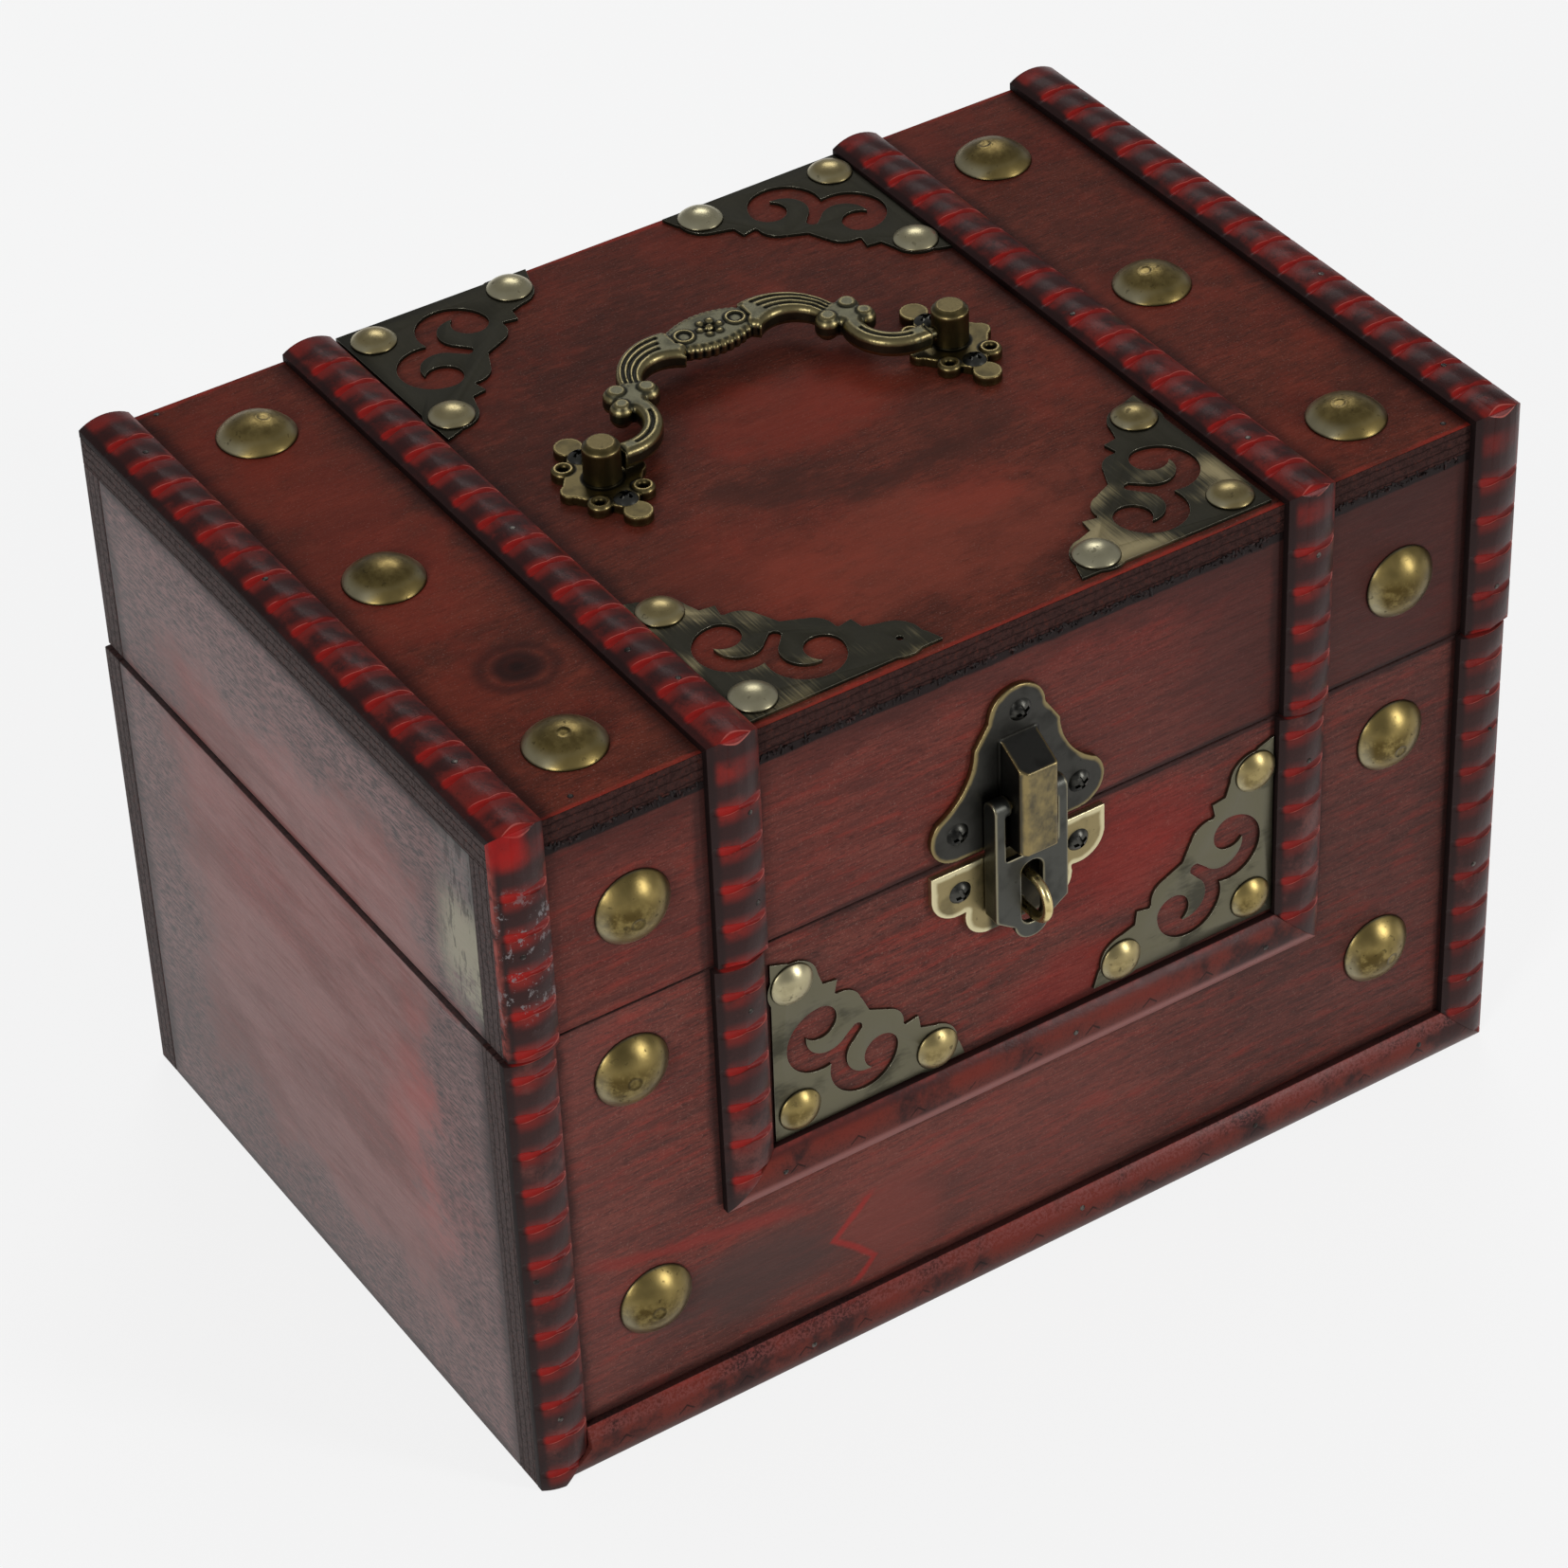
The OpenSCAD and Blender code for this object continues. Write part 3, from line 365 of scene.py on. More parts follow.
def wood(name, along, thick, marks=None, seed=0, gloss=0.3, tint=None, streaky=1.0, out=0):
    """Stained plywood: along and thick are the axes of its grain and thickness, and
    out says to which side of its thickness the marks are, or 0 for both."""
    material, here, facing = new_material(name)
    places = here.axes()
    shift = (seed * 3.1, seed * 1.7, seed * 2.3)

    def grain(waves, stretch, detail=3.0, rough=0.6):
        scale = [waves, waves, waves]
        scale[along] = waves * stretch
        return here.noise(tuple(scale), detail, rough, shift)

    cloud = grain(26, 0.5, 6, 0.6)
    mottle = grain(120, 0.35, 6, 0.7)
    figure = grain(460, 0.07, 4, 0.7)
    streaks = grain(1500, 0.09, 3, 0.7)
    pores = grain(3000, 0.16, 2, 0.6)
    specks = here.noise(2600, 2, 0.7, shift)
    mid, light, red, dark = tint or (stain_mid, stain_light, stain_red, stain_dark)
    colour = colour_of(here, mid)
    colour = colour.coats(
        (light, mottle.step(0.44, 0.62) * 0.55),
        (dark, cloud.step(0.5, 0.66) * 0.6),
        (red, (1 - cloud).step(0.52, 0.68) * 0.4),
        (dark, figure.step(0.5, 0.64) * 0.42 * streaky),
        (red, (1 - figure).step(0.53, 0.68) * 0.42 * streaky),
        (dark, streaks.step(0.49, 0.6) * 0.5 * streaky),
        (light, (1 - streaks).step(0.54, 0.66) * 0.45 * streaky),
        (burnt, pores.step(0.54, 0.66) * (0.3 + 0.22 * streaky)),
        (dark, specks.step(0.52, 0.62) * 0.3),
        (dusty, specks.step(0.4, 0.3) * 0.3))
    if marks:
        outer = (facing.axes()[thick] * out).step(0.2, 0.6) if out else 1.0
        colour = colour.over(marks(here, places, colour, facing), outer)
    # the plies show on every edge of the board, dark in front and grey at the sides
    edge = 1 - abs(facing.axes()[thick]).step(0.55, 0.8)
    ragged = here.noise(300, 4, 0.7, shift) * 0.0011
    ply = abs(here.math("SINE", (places[thick] + ragged) * (math.pi / ply_thick)))
    rough_wood = here.noise(1100, 4, 0.75, shift)
    grey_side = abs(facing.axes()[0]).step(0.5, 0.8)
    layers = colour_of(here, srgb(60, 40, 37)).over(srgb(92, 84, 82), grey_side * 0.85)
    layers = layers.over(burnt, ply.step(0.42, 0.12) * 0.8)
    layers = layers.over(burnt, rough_wood.step(0.48, 0.6) * 0.55)
    layers = layers.over(mid, (1 - rough_wood).step(0.56, 0.66) * 0.4)
    colour = colour.over(layers, edge * 0.95)
    height = figure * 0.3 + streaks * 0.45 + pores * 0.3 + edge * rough_wood * 3
    return close_material(material, height, 0.00016, Base_Color=colour, Specular_IOR_Level=gloss,
                          Roughness=0.42 + 0.2 * streaks + 0.12 * cloud + edge * 0.2)


def front_marks(here, places, colour, facing):
    """Darker lines in the corners beside the strips, and the redder places of the front."""
    x, y, z = places
    soil = here.noise((60, 60, 90), 4, 0.6, (4, 1, 2))
    fibre = here.noise((60, 200, 900), 3, 0.6, (1, 1, 2))

    def spot(cx, cz, rx, rz):
        return (((x - cx) / rx) ** 2 + ((z - cz) / rz) ** 2 + (soil - 0.5) * 1.6).step(1.2, 0.1)

    patch = here.noise((90, 200, 420), 5, 0.65, (7, 7, 1))
    colour = colour.coats(
        (srgb(140, 48, 38), patch.step(0.54, 0.68) * 0.4),
        (srgb(60, 40, 37), patch.step(0.46, 0.33) * 0.4))
    # the right half is darker, the lid a little redder, and the case paler at its far left and low
    # in the middle
    lid = z.step(0.1032, 0.1036)
    colour = colour.coats(
        (srgb(108, 38, 30), lid * 0.22),
        (stain_dark, x.step(-0.02, 0.09) * 0.32 + lid * x.step(0.02, 0.05) * 0.42),
        (srgb(132, 84, 78), (1 - lid) * x.step(-0.06, -0.1) * 0.22),
        (srgb(128, 74, 66), z.step(0.047, 0.04) * abs(x + 0.02).step(0.06, 0.03) * 0.25))
    # a flame of red grain low on the left, dark before it and lighter behind it
    edge = x + 0.0439 - here.math("PINGPONG", abs(z - 0.0254), 0.0083) * 1.05 + (soil - 0.5) * 0.004
    colour = colour.coats(
        (srgb(72, 54, 50), edge.step(0.0005, -0.002) * spot(-0.062, 0.0265, 0.024, 0.011) * 0.8),
        (srgb(122, 62, 54), edge.step(-0.001, 0.003) * spot(-0.03, 0.024, 0.014, 0.012) * 0.6))
    flame = abs(edge).step(0.0016, 0.0003) * z.step(0.0115, 0.0135) * z.step(0.035, 0.031)
    colour = colour.over(srgb(156, 44, 40), flame * 0.7)
    band = abs(z - 0.0265 + x * 0.208 + (soil - 0.5) * 0.006).step(0.0022, 0.0004)
    colour = colour.coats(
        (srgb(142, 48, 42), band * x.step(-0.1, -0.09) * x.step(-0.045, -0.058) * 0.5),
        (stain_red, spot(0.022, 0.088, 0.022, 0.016) * 0.4),
        (stain_red, spot(0.012, 0.062, 0.02, 0.01) * 0.35))
    # darker in narrow lines beside the strips and along the foot strip and the bar
    beside = abs(abs(x) - inner_strip) - strip_half + z.step(0.0475, 0.0455)
    beside = beside.least(abs(abs(x) - outer_edge))
    low = (z - foot_top).least(abs(z - bar_middle) - strip_half + abs(x).step(0.066, 0.068) * 0.1)
    darkened = (beside.least(low) - soil * 0.0035 + 0.0009).step(0.0014, -0.0002)
    colour = colour.over(burnt, darkened * 0.6)
    joint = abs(z - split_height) - soil * 0.0008 - fibre * 0.0006
    colour = colour.over(burnt, joint.step(0.0008, 0.0) * (0.15 + 0.6 * x.step(-0.07, -0.02)))
    # the glue line under the lid's top board, rough and black, and the soot below it
    under = lid_under - z
    glue = under - soil * 0.002 - fibre * 0.0016 + 0.0008
    colour = colour.over(stain_dark, (under - soil * 0.012).step(0.004, -0.004) * 0.6)
    return colour.over(burnt, glue.step(0.0012, 0.0005) * 0.97)


def top_marks(here, places, colour, facing):
    """The lid's top: a red middle, dark diagonal clouds, a knot and worn edges."""
    x, y, z = places
    soil = here.noise((70, 100, 70), 7, 0.66, (1, 5, 2))
    blot = here.noise((30, 50, 30), 6, 0.66, (2.6, 0.4, 1))
    wipes = here.noise((160, 420, 160), 5, 0.7, (3, 3, 1))

    def spot(cx, cy, rx, ry, lean=0.0):
        across, down = (x - cx) - (y - cy) * lean, (y - cy) + (x - cx) * lean
        ragged = (soil - 0.5) * 3.4 + (wipes - 0.5) * 2.2
        return ((across / rx) ** 2 + (down / ry) ** 2 + ragged).step(1.5, 0.0)

    clouds = here.noise((48, 36, 48), 7, 0.62, (9, 4, 1))
    smoke = srgb(68, 36, 28)
    colour = colour.coats(
        (srgb(134, 48, 33), clouds.step(0.5, 0.64) * 0.3),
        (smoke, clouds.step(0.47, 0.34) * 0.25),
        (srgb(136, 62, 46), wipes.step(0.52, 0.66) * 0.3),
        (smoke, wipes.step(0.48, 0.34) * 0.35))
    for red, (cx, cy, rx, ry, lean), much in (
            (srgb(142, 50, 34), (0.002, 0.003, 0.021, 0.014, 0.3), 0.5),
            (srgb(142, 66, 50), (0.002, -0.046, 0.034, 0.017, 0.0), 0.5),
            (srgb(148, 56, 40), (0.016, -0.037, 0.011, 0.008, 0.0), 0.35),
            (srgb(140, 56, 40), (-0.03, -0.036, 0.018, 0.02, 0.0), 0.35),
            (srgb(138, 50, 36), (-0.084, 0.02, 0.013, 0.05, 0.0), 0.35)):
        colour = colour.over(red, spot(cx, cy, rx, ry, lean) * much)
    for (cx, cy, rx, ry, lean), much in (
            ((-0.011, -0.018, 0.018, 0.007, 0.55), 0.65),
            ((0.008, -0.0245, 0.016, 0.0035, -0.1), 0.6),
            ((0.026, -0.016, 0.011, 0.014, 0.0), 0.3), ((0.0, 0.014, 0.04, 0.012, 0.0), 0.1),
            ((-0.043, 0.0, 0.012, 0.06, 0.0), 0.3)):
        colour = colour.over(smoke, spot(cx, cy, rx, ry, lean) * blot.step(0.25, 0.5) * much)
    knot = (((x + 0.0795) / 0.0045) ** 2 + ((y + 0.0345) / 0.0042) ** 2)
    rings = abs(here.math("SINE", (knot ** 0.5) * 4.0 + soil * 3))
    colour = colour.coats(
        (stain_dark, knot.step(6.0, 0.6) * (0.25 + 0.65 * rings)),
        (burnt, knot.step(1.0, 0.1) * 0.75))
    middle = abs(x - lid_shift)
    beside = (abs(middle - inner_strip) - strip_half).least(abs(middle - outer_edge))
    colour = colour.over(burnt, (beside - soil * 0.006).step(0.002, -0.0025) * 0.55)
    sheet = facing.axes()[2].step(0.3, 0.7)
    rubbed = (y + half_depth).least(half_depth - y) - 0.0006 + (soil - 0.5) * 0.004
    rubbed = rubbed.step(0.0008, 0.0) * blot.step(0.35, 0.6)
    return colour.over(worn_red, rubbed * 0.5 * sheet)


def side_marks(here, places, colour, facing):
    """The grey bloom of the sides, partly a painted sheen: thin in the middle, thick and dark at
    the edges.
    """
    x, y, z = places
    soil = here.noise(45, 7, 0.66, (2, 2, 7))
    fine = here.noise((2400, 330, 2400), 4, 0.75)
    edge = (y + side_half).least(side_half - y).least(z).least(lid_under - z)
    grey = (edge - soil * 0.05).step(0.004, -0.012)
    outside = 1 - abs(x).step(0.1075, 0.1055)
    flush = ((y + 0.046) / 0.014) ** 2 + ((z - 0.06) / 0.03) ** 2 + (soil - 0.5) * 4
    colour = colour.over(srgb(168, 64, 56), flush.step(1.8, 0.0) * 0.6 * outside)
    veil = here.noise((60, 18, 60), 7, 0.68, (6, 2, 3))
    # the grey bloom, partly a painted sheen laid over the whole side, thicker towards its edges
    bloom_and_sheen = (0.34 + 0.3 * veil.step(0.38, 0.6) + 0.25 * grey) * (0.5 + fine)
    colour = colour.coats(
        (sheen_and_bloom_grey, bloom_and_sheen * outside),
        (srgb(92, 88, 88), grey * outside * 0.3),
        (srgb(58, 57, 57), grey * fine.step(0.42, 0.58) * 0.85 * outside))
    wiped = here.noise((700, 40, 700), 5, 0.7, (3, 3, 3))
    colour = colour.coats(
        (srgb(112, 60, 56), wiped.step(0.52, 0.64) * (1 - grey) * 0.35 * outside),
        (burnt, (edge - soil * 0.006).step(0.0012, -0.003) * 0.75))
    joint = abs(z - split_height) - soil * 0.0012
    sealed = joint.step(0.0012, 0.0002) * soil.step(0.45, 0.55)
    colour = colour.over(srgb(110, 40, 34), sealed * 0.6)
    lid_front = (y + side_half - soil * 0.012).step(0.009, 0.0) * z.step(0.1035, 0.112)
    lid_front = lid_front * x.step(-0.108, -0.1095)
    colour = colour.over(srgb(112, 112, 108), lid_front * (0.3 + fine * 0.5))
    bare = (soil + fine * 0.5).step(0.66, 0.8) * lid_front * z.step(0.136, 0.126)
    colour = colour.over(srgb(166, 160, 138), bare * 0.9)
    cracked = here.noise((500, 500, 120), 4, 0.75, (3, 1, 1)).step(0.52, 0.6)
    return colour.over(burnt, cracked * lid_front * 0.7)


front_wood = wood("stained_front_ply", 0, 1, front_marks, 1, 0.16, out=-1, tint=(
    srgb(100, 50, 42), srgb(120, 64, 54), srgb(138, 46, 37), srgb(66, 40, 35)))
top_wood = wood("stained_top_ply", 0, 2, top_marks, 2, 0.07, streaky=0.4, out=1, tint=(
    srgb(96, 44, 32), srgb(116, 53, 38), srgb(124, 40, 28), srgb(64, 36, 29)))
side_wood = wood("stained_side_ply", 1, 0, side_marks, 3, 0.5, streaky=0.55)
back_wood = wood("stained_back_ply", 0, 1, None, 4)
base_wood = wood("stained_base_ply", 0, 2, None, 5)

boards = {}
for part, level, timber in (("case", "bottom", base_wood), ("lid", "top", top_wood)):
    boards |= {f"{part}_front_board": front_wood, f"{part}_back_board": back_wood,
               f"{part}_left_board": side_wood, f"{part}_right_board": side_wood,
               f"{part}_{level}_board": timber}
for node, timber in boards.items():
    stands_for(rounded(merged_copy(node, node + "_worn"), board_edge), node, "wood", timber)


def new_recipe(name, **sizes):
    """An empty Geometry Nodes tree with named inputs, and its input node."""
    tree = bpy.data.node_groups.new(name, "GeometryNodeTree")
    for way in ("OUTPUT", "INPUT"):
        tree.interface.new_socket("Geometry", in_out=way, socket_type="NodeSocketGeometry")
    for size, value in sizes.items():
        kind = "NodeSocketMaterial" if value is None else (
            "NodeSocketInt" if isinstance(value, int) else "NodeSocketFloat")
        socket = tree.interface.new_socket(size, in_out="INPUT", socket_type=kind)
        if value is not None:
            socket.default_value = value
    return tree, Wire(tree).node("NodeGroupInput", out="Geometry")


def close_recipe(tree, shape, given):
    """Gives what the tree made its material and ends the tree."""
    done = shape.geo("SetMaterial", {"Geometry": shape, "Material": given.other("Material")})
    end = tree.nodes.new("NodeGroupOutput")
    tree.links.new(done.socket, end.inputs[0])


def made_by(tree, name, points, attributes, **sizes):
    """Runs a tree on a cloud of points and returns what it makes as a plain mesh."""
    cloud = bpy.data.meshes.new(name)
    cloud.from_pydata(points, [], [])
    for label, values in attributes.items():
        many = hasattr(values[0], "__len__")
        kind, field = ("FLOAT_VECTOR", "vector") if many else ("FLOAT", "value")
        layer = cloud.attributes.new(label, kind, "POINT")
        for item, value in zip(layer.data, values):
            setattr(item, field, value)
    holder = placed(name, cloud)
    recipe = holder.modifiers.new("recipe", "NODES")
    recipe.node_group = tree
    for item in tree.interface.items_tree:
        if item.in_out == "INPUT" and item.name in sizes:
            recipe[item.identifier] = sizes[item.name]
    shape = baked(holder)
    bpy.data.objects.remove(holder)
    return placed(name, shape)


# Old glue stands in black crumbs along the joint under the lid's top board.
crumb_size = 0.0004
crumb_line = 0.1447       # the height of the joint
crumb_pitch = 0.00042

crumb_tree, given = new_recipe("glue_crumbs", Size=crumb_size, Spread=0.0007, Seed=7, Material=None)
where = given.geo("MeshToPoints", {"Mesh": given})
number = given.geo("InputIndex")


def chance(low, high, turn):
    """A number by chance between low and high, another for every turn."""
    return given.node("FunctionNodeRandomValue", {"data_type": "FLOAT"}, {
        2: low, 3: high, "ID": number, "Seed": given.other("Seed") + turn}, out=1)


drift = given.xyz(chance(-0.0006, 0.0006, 1), chance(-0.00012, 0.00002, 2),
                  chance(-1.0, 1.0, 3) * given.other("Spread"))
where = given.geo("SetPosition", {"Geometry": where, "Offset": drift})
crumb = given.geo("MeshIcoSphere", {
    "Radius": given.other("Size"), "Subdivisions": 2})
turned = given.xyz(*(chance(0.0, 6.3, turn) for turn in (4, 5, 6)))
spread = given.xyz(chance(0.5, 2.2, 7), chance(0.3, 0.8, 8), chance(0.3, 0.9, 9))
crumbs = given.geo("InstanceOnPoints", {
    "Points": where, "Instance": crumb, "Rotation": turned, "Scale": spread})
crumbs = given.geo("RealizeInstances", {"Geometry": crumbs})
close_recipe(crumb_tree, crumbs, given)

glue_finish, here, facing = new_material("old_glue")
close_material(glue_finish, None, Base_Color=colour_of(here, srgb(26, 17, 16)).over(
    srgb(70, 40, 36), here.noise(500, 3, 0.6).step(0.5, 0.7) * 0.6),
    Specular_IOR_Level=0.2, Roughness=0.55)
between = [(-0.0985, -0.0664), (-0.0557, 0.0575), (0.0682, 0.1003)]
places = []
for start, stop in between:
    steps = int((stop - start) / crumb_pitch)
    for step in range(steps):
        x = start + (stop - start) * step / steps
        if math.sin(x * 310) + math.sin(x * 731 + 1) + math.sin(x * 1630) > -1.1:
            places.append((x, front_face, crumb_line))
piece = made_by(crumb_tree, "glue_crumbs", places, {}, Size=crumb_size, Material=glue_finish)
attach(piece, "lid")


# ---------------------------------------------------------------------------
# The trim strips: half-round beads with notches cut across them every 9 mm,
# sprayed near black over red, rubbed back in the notches and then varnished.
# ---------------------------------------------------------------------------
strip_rise = 0.0031
dome_radius = 0.00925     # the strip's rounded top

bead_black = srgb(44, 29, 28)
notch_red = srgb(154, 34, 30)
notch_pitch = 0.0087


def bead(name, up, across, base, firsts, body, black=0.5, red=1.0):
    """Bead finish: up points out of the wood, across lies over the strip, and
    firsts gives each strip's middle and the place of its first notch."""
    material, here, facing = new_material(name)
    places = here.axes()
    along = 3 - up - across
    offset = first = None
    for middle, start in firsts:
        this, start = places[across] - middle, here.math("ADD", start, 0.0)
        if offset is None:
            offset, first = this, start
            continue
        nearer = (abs(offset) - abs(this)).step(-0.00001, 0.00001)
        offset, first = [
            here.node("ShaderNodeMix", {"data_type": "FLOAT"}, {0: nearer, 2: old, 3: new})
            for old, new in ((offset, this), (first, start))]
    height = (places[up] - base) * (1 if base > 0 else -1)
    drop = dome_radius - here.math("SQRT", dome_radius ** 2 - offset * offset)
    cut = (strip_rise - drop) - height
    wall = abs(facing.axes()[across]).step(0.75, 0.9)
    soil = here.noise(300, 5, 0.7)
    cloud = here.noise(55, 5, 0.65, (1, 2, 3))
    worn = here.noise(120, 5, 0.7, (5, 2, 3))
    fine = here.noise(1800, 3, 0.7, (1, 1, 4))
    colour = colour_of(here, body)
    colour = colour.coats(
        (bead_black, (cloud * 0.9 + soil * 0.25).step(0.8 - black, 0.95 - black) * 0.85),
        (bead_black, fine.step(0.52, 0.62) * 0.4))
    if red:
        # the spray thinned out towards each notch, more so on the strip's left flank
        away = here.math("PINGPONG", places[along] - first + 0.0004, notch_pitch / 2)
        left = (0.45 + 0.55 * offset.step(0.003, -0.002)) * offset.step(-0.0047, -0.0036)
        if across == 0 and up == 1:
            left = left * (0.55 + 0.45 * places[0].step(0.11, -0.02))
        halo = away.step(0.0034, 0.0008) * (worn * 0.9 + soil * 0.4).step(0.36, 0.74)
        colour = colour.over(srgb(124, 38, 33), halo * left * red)
        # red shows in the notches, most of all where they open at the left
        groove = cut.step(0.00003, 0.0003) * (1 - wall)
        colour = colour.over(notch_red, groove * left * (0.45 + soil * 0.7) * (0.6 + 0.4 * red))
        # a painted highlight: a thin paler line along the lower lip of each notch, broken up by
        # wear noise
        lip = cut.step(0.00002, 0.00007) * cut.step(0.0002, 0.0001) * (1 - wall)
        lip = lip * worn.step(0.4, 0.55) * offset.step(-0.004, -0.002)
        colour = colour.over(srgb(200, 108, 98), lip * 0.6)
    else:
        # small v-shaped nicks, made by the jaws of the machine that fed the strip
        step = here.math("PINGPONG", places[along], 0.0066)
        nick = abs(offset - 0.0004 + step * 0.9).step(0.0004, 0.0001) * step.step(0.0018, 0.0015)
        # a painted highlight: the upper half of the bar and the foot strip is painted redder,
        # broken up by cloud noise
        lit_upper_half = offset.step(-0.001, 0.002) * (1 - cloud).step(0.4, 0.6)
        colour = colour.over(srgb(118, 44, 34), lit_upper_half * 0.6)
        # the bar's lower edge is rubbed pale, and the foot strip's is brown
        low, foot = offset.step(-0.0014, -0.0032), places[2].step(0.03, 0.02)
        colour = colour.coats(
            (srgb(148, 96, 90), low * (1 - foot) * 0.75),
            (srgb(80, 54, 50), low * foot * 0.7),
            (srgb(132, 74, 70), offset.step(0.0016, 0.003) * foot * fine.step(0.4, 0.6) * 0.6),
            (srgb(66, 34, 32), offset.step(0.0028, 0.0042) * (1 - foot) * 0.7),
            (burnt, nick * worn.step(0.35, 0.45) * 0.75))
    # the shoulders are rubbed through to the red, the walls are sprayed black
    shoulder = offset.step(0.0040, 0.0049) * (1 - wall) * worn.step(0.42, 0.62)
    colour = colour.over(srgb(142, 54, 46), shoulder * 0.45)
    if across == 0:
        flank = offset.step(-0.0034, -0.0044)
        colour = colour.over(srgb(40, 28, 27), flank * 0.8)
    colour = colour.over(burnt, wall * 0.85)
    if across == 0 and up == 1:
        # the box's own front corner is rubbed through to pale red down its edge
        x, y, z = places
        corner = x.step(-0.1078, -0.1088) * worn.step(0.36, 0.54) * y.step(-0.0756, -0.0745)
        colour = colour.over(srgb(176, 86, 76), corner * z.step(0.103, 0.106) * 0.7)
        end = x.step(-0.099, -0.1) * z.step(0.1445, 0.149) * offset.step(0.002, -0.001)
        colour = colour.over(srgb(160, 22, 20), end * (0.4 + soil * 0.6))
        chips = here.noise((520, 520, 380), 6, 0.75, (2, 7, 1))
        chipped = x.step(-0.098, -0.099) * z.step(0.108, 0.118) * z.step(0.146, 0.134)
        chipped = chipped * worn.step(0.36, 0.52)
        colour = colour.over(srgb(128, 122, 122), chips.step(0.555, 0.585) * chipped * 0.8)
    return close_material(material, soil * 0.7 + fine * 0.3, 0.00009, Base_Color=colour,
                          Specular_IOR_Level=0.06 if up == 2 else 0.11,
                          Roughness=0.2 + soil * 0.24 + wall * 0.3)


lid_middles = (-0.1039, -0.0611, 0.0629, 0.1057)
case_middles = (-0.1048, -0.062, 0.062, 0.1048)
top_bead = bead("varnished_top_bead", 2, 0, box_top, [(middle, 0.0636) for middle in lid_middles],
                srgb(108, 42, 37), 0.36, 1.2)
lid_bead = bead("varnished_lid_bead", 1, 0, front_face, [
    (middle, 0.1541 - share * notch_pitch)
    for middle, share in zip(lid_middles, (1.61, 1.76, 1.53, 1.78))],
    srgb(86, 44, 40), 0.48)
case_bead = bead("varnished_case_bead", 1, 0, front_face, [
    (middle, 0.1032 - share * notch_pitch)
    for middle, share in zip(case_middles, (0.40, 0.67, 0.45, 0.69))],
    srgb(98, 58, 53), 0.4, 0.7)
level_bead = bead("varnished_level_bead", 1, 2, front_face, [(strip_half, 0.0), (0.05143, 0.0)],
                  srgb(96, 48, 41), 0.26, 0.0)
strips = {f"{part}_strip_{side}": finish for part, finish in (("top", top_bead), ("lid", lid_bead))
          for side in ("far_left", "left", "right", "far_right")}
strips |= {f"{part}_strip_{side}": case_bead
           for part in ("case", "frame") for side in ("left", "right")}
strips |= {"frame_bar": level_bead, "foot_strip": level_bead}
strip_edge = 0.00018      # how far a strip's edges are rounded
for node, finish in strips.items():
    piece = rounded(merged_copy(node, node + "_bead"), strip_edge, 2, 24)
    stands_for(piece, node, "strips", finish)


# ---------------------------------------------------------------------------
# The domed tacks: pressed from thin brass-plated steel with a rolled-in edge,
# darkened, rubbed, and driven into the wood; a few took a dent from the hammer.
# ---------------------------------------------------------------------------
gold_brass = srgb(160, 140, 86)
dull_brass = srgb(108, 94, 56)
silver_brass = srgb(196, 194, 168)
black_wash = srgb(22, 21, 18)


def solids_of(node):
    """The lowest and highest corner of each loose solid in a CAD node."""
    skin = bmesh.new()
    skin.from_mesh(frame["nodes"][node].data)
    bmesh.ops.remove_doubles(skin, verts=skin.verts, dist=weld)
    left, corners = set(skin.verts), []
    while left:
        heap = [left.pop()]
        low, high = heap[0].co.copy(), heap[0].co.copy()
        while heap:
            vertex = heap.pop()
            low = Vector(map(min, low, vertex.co))
            high = Vector(map(max, high, vertex.co))
            for edge in vertex.link_edges:
                near = edge.other_vert(vertex)
                if near in left:
                    left.remove(near)
                    heap.append(near)
        corners.append((low, high))
    skin.free()
    return sorted(corners, key=lambda pair: tuple(round(v, 4) for v in pair[0]))


# one head is a grid wrapped round: rows run from the crown over the rim and under
crown_share = 0.84        # the share of the rows that lies over the rim
tack_tree, given = new_recipe("domed_tack", Radius=0.0085, Rise=0.0032, Lip=0.0003, Rows=30,
                              Around=40, Material=None)
grid = given.geo("MeshGrid", {
    "Size X": 1.0, "Size Y": 1.0,
    "Vertices X": given.other("Around"), "Vertices Y": given.other("Rows")})
spot = given.geo("InputPosition").axes()
turn_by, reach = (spot[0] + 0.5) * (2 * math.pi), spot[1] + 0.5
radius, lip = given.other("Radius"), given.other("Lip")
rise = given.other("Rise") - lip
ball = (radius * radius + rise * rise) / (rise * 2)
half_angle = given.math("ARCSINE", radius / ball)
over_top = (reach / crown_share).least(1)
under = ((reach - crown_share) / (1 - crown_share)).most(0)
angle = over_top * half_angle
wide = ball * given.math("SINE", angle) * (1 - under ** 6)
tall = ball * (given.math("COSINE", angle) - given.math("COSINE", half_angle))
tall = tall + lip * (1 - (under * 2).least(1))
place = given.xyz(wide * given.math("COSINE", turn_by), wide * given.math("SINE", turn_by), tall)
grid = given.geo("StoreNamedAttribute", {"Geometry": grid, "Name": "reach", "Value": over_top},
                 {"data_type": "FLOAT", "domain": "POINT"})
head = given.geo("SetPosition", {"Geometry": grid, "Position": place})
head = given.geo("MergeByDistance", {"Geometry": head, "Distance": 0.000004})
head = given.geo("StoreNamedAttribute", {
    "Geometry": head, "Name": "spot", "Value": given.geo("InputPosition")},
    {"data_type": "FLOAT_VECTOR", "domain": "POINT"})
out, spot, dent = [given.geo("InputNamedAttribute", {"Name": name}, {"data_type": "FLOAT_VECTOR"})
                   for name in ("out", "spot", "dent")]
facing_out = given.node("FunctionNodeAlignRotationToVector", {"axis": "Z"}, {"Vector": out})
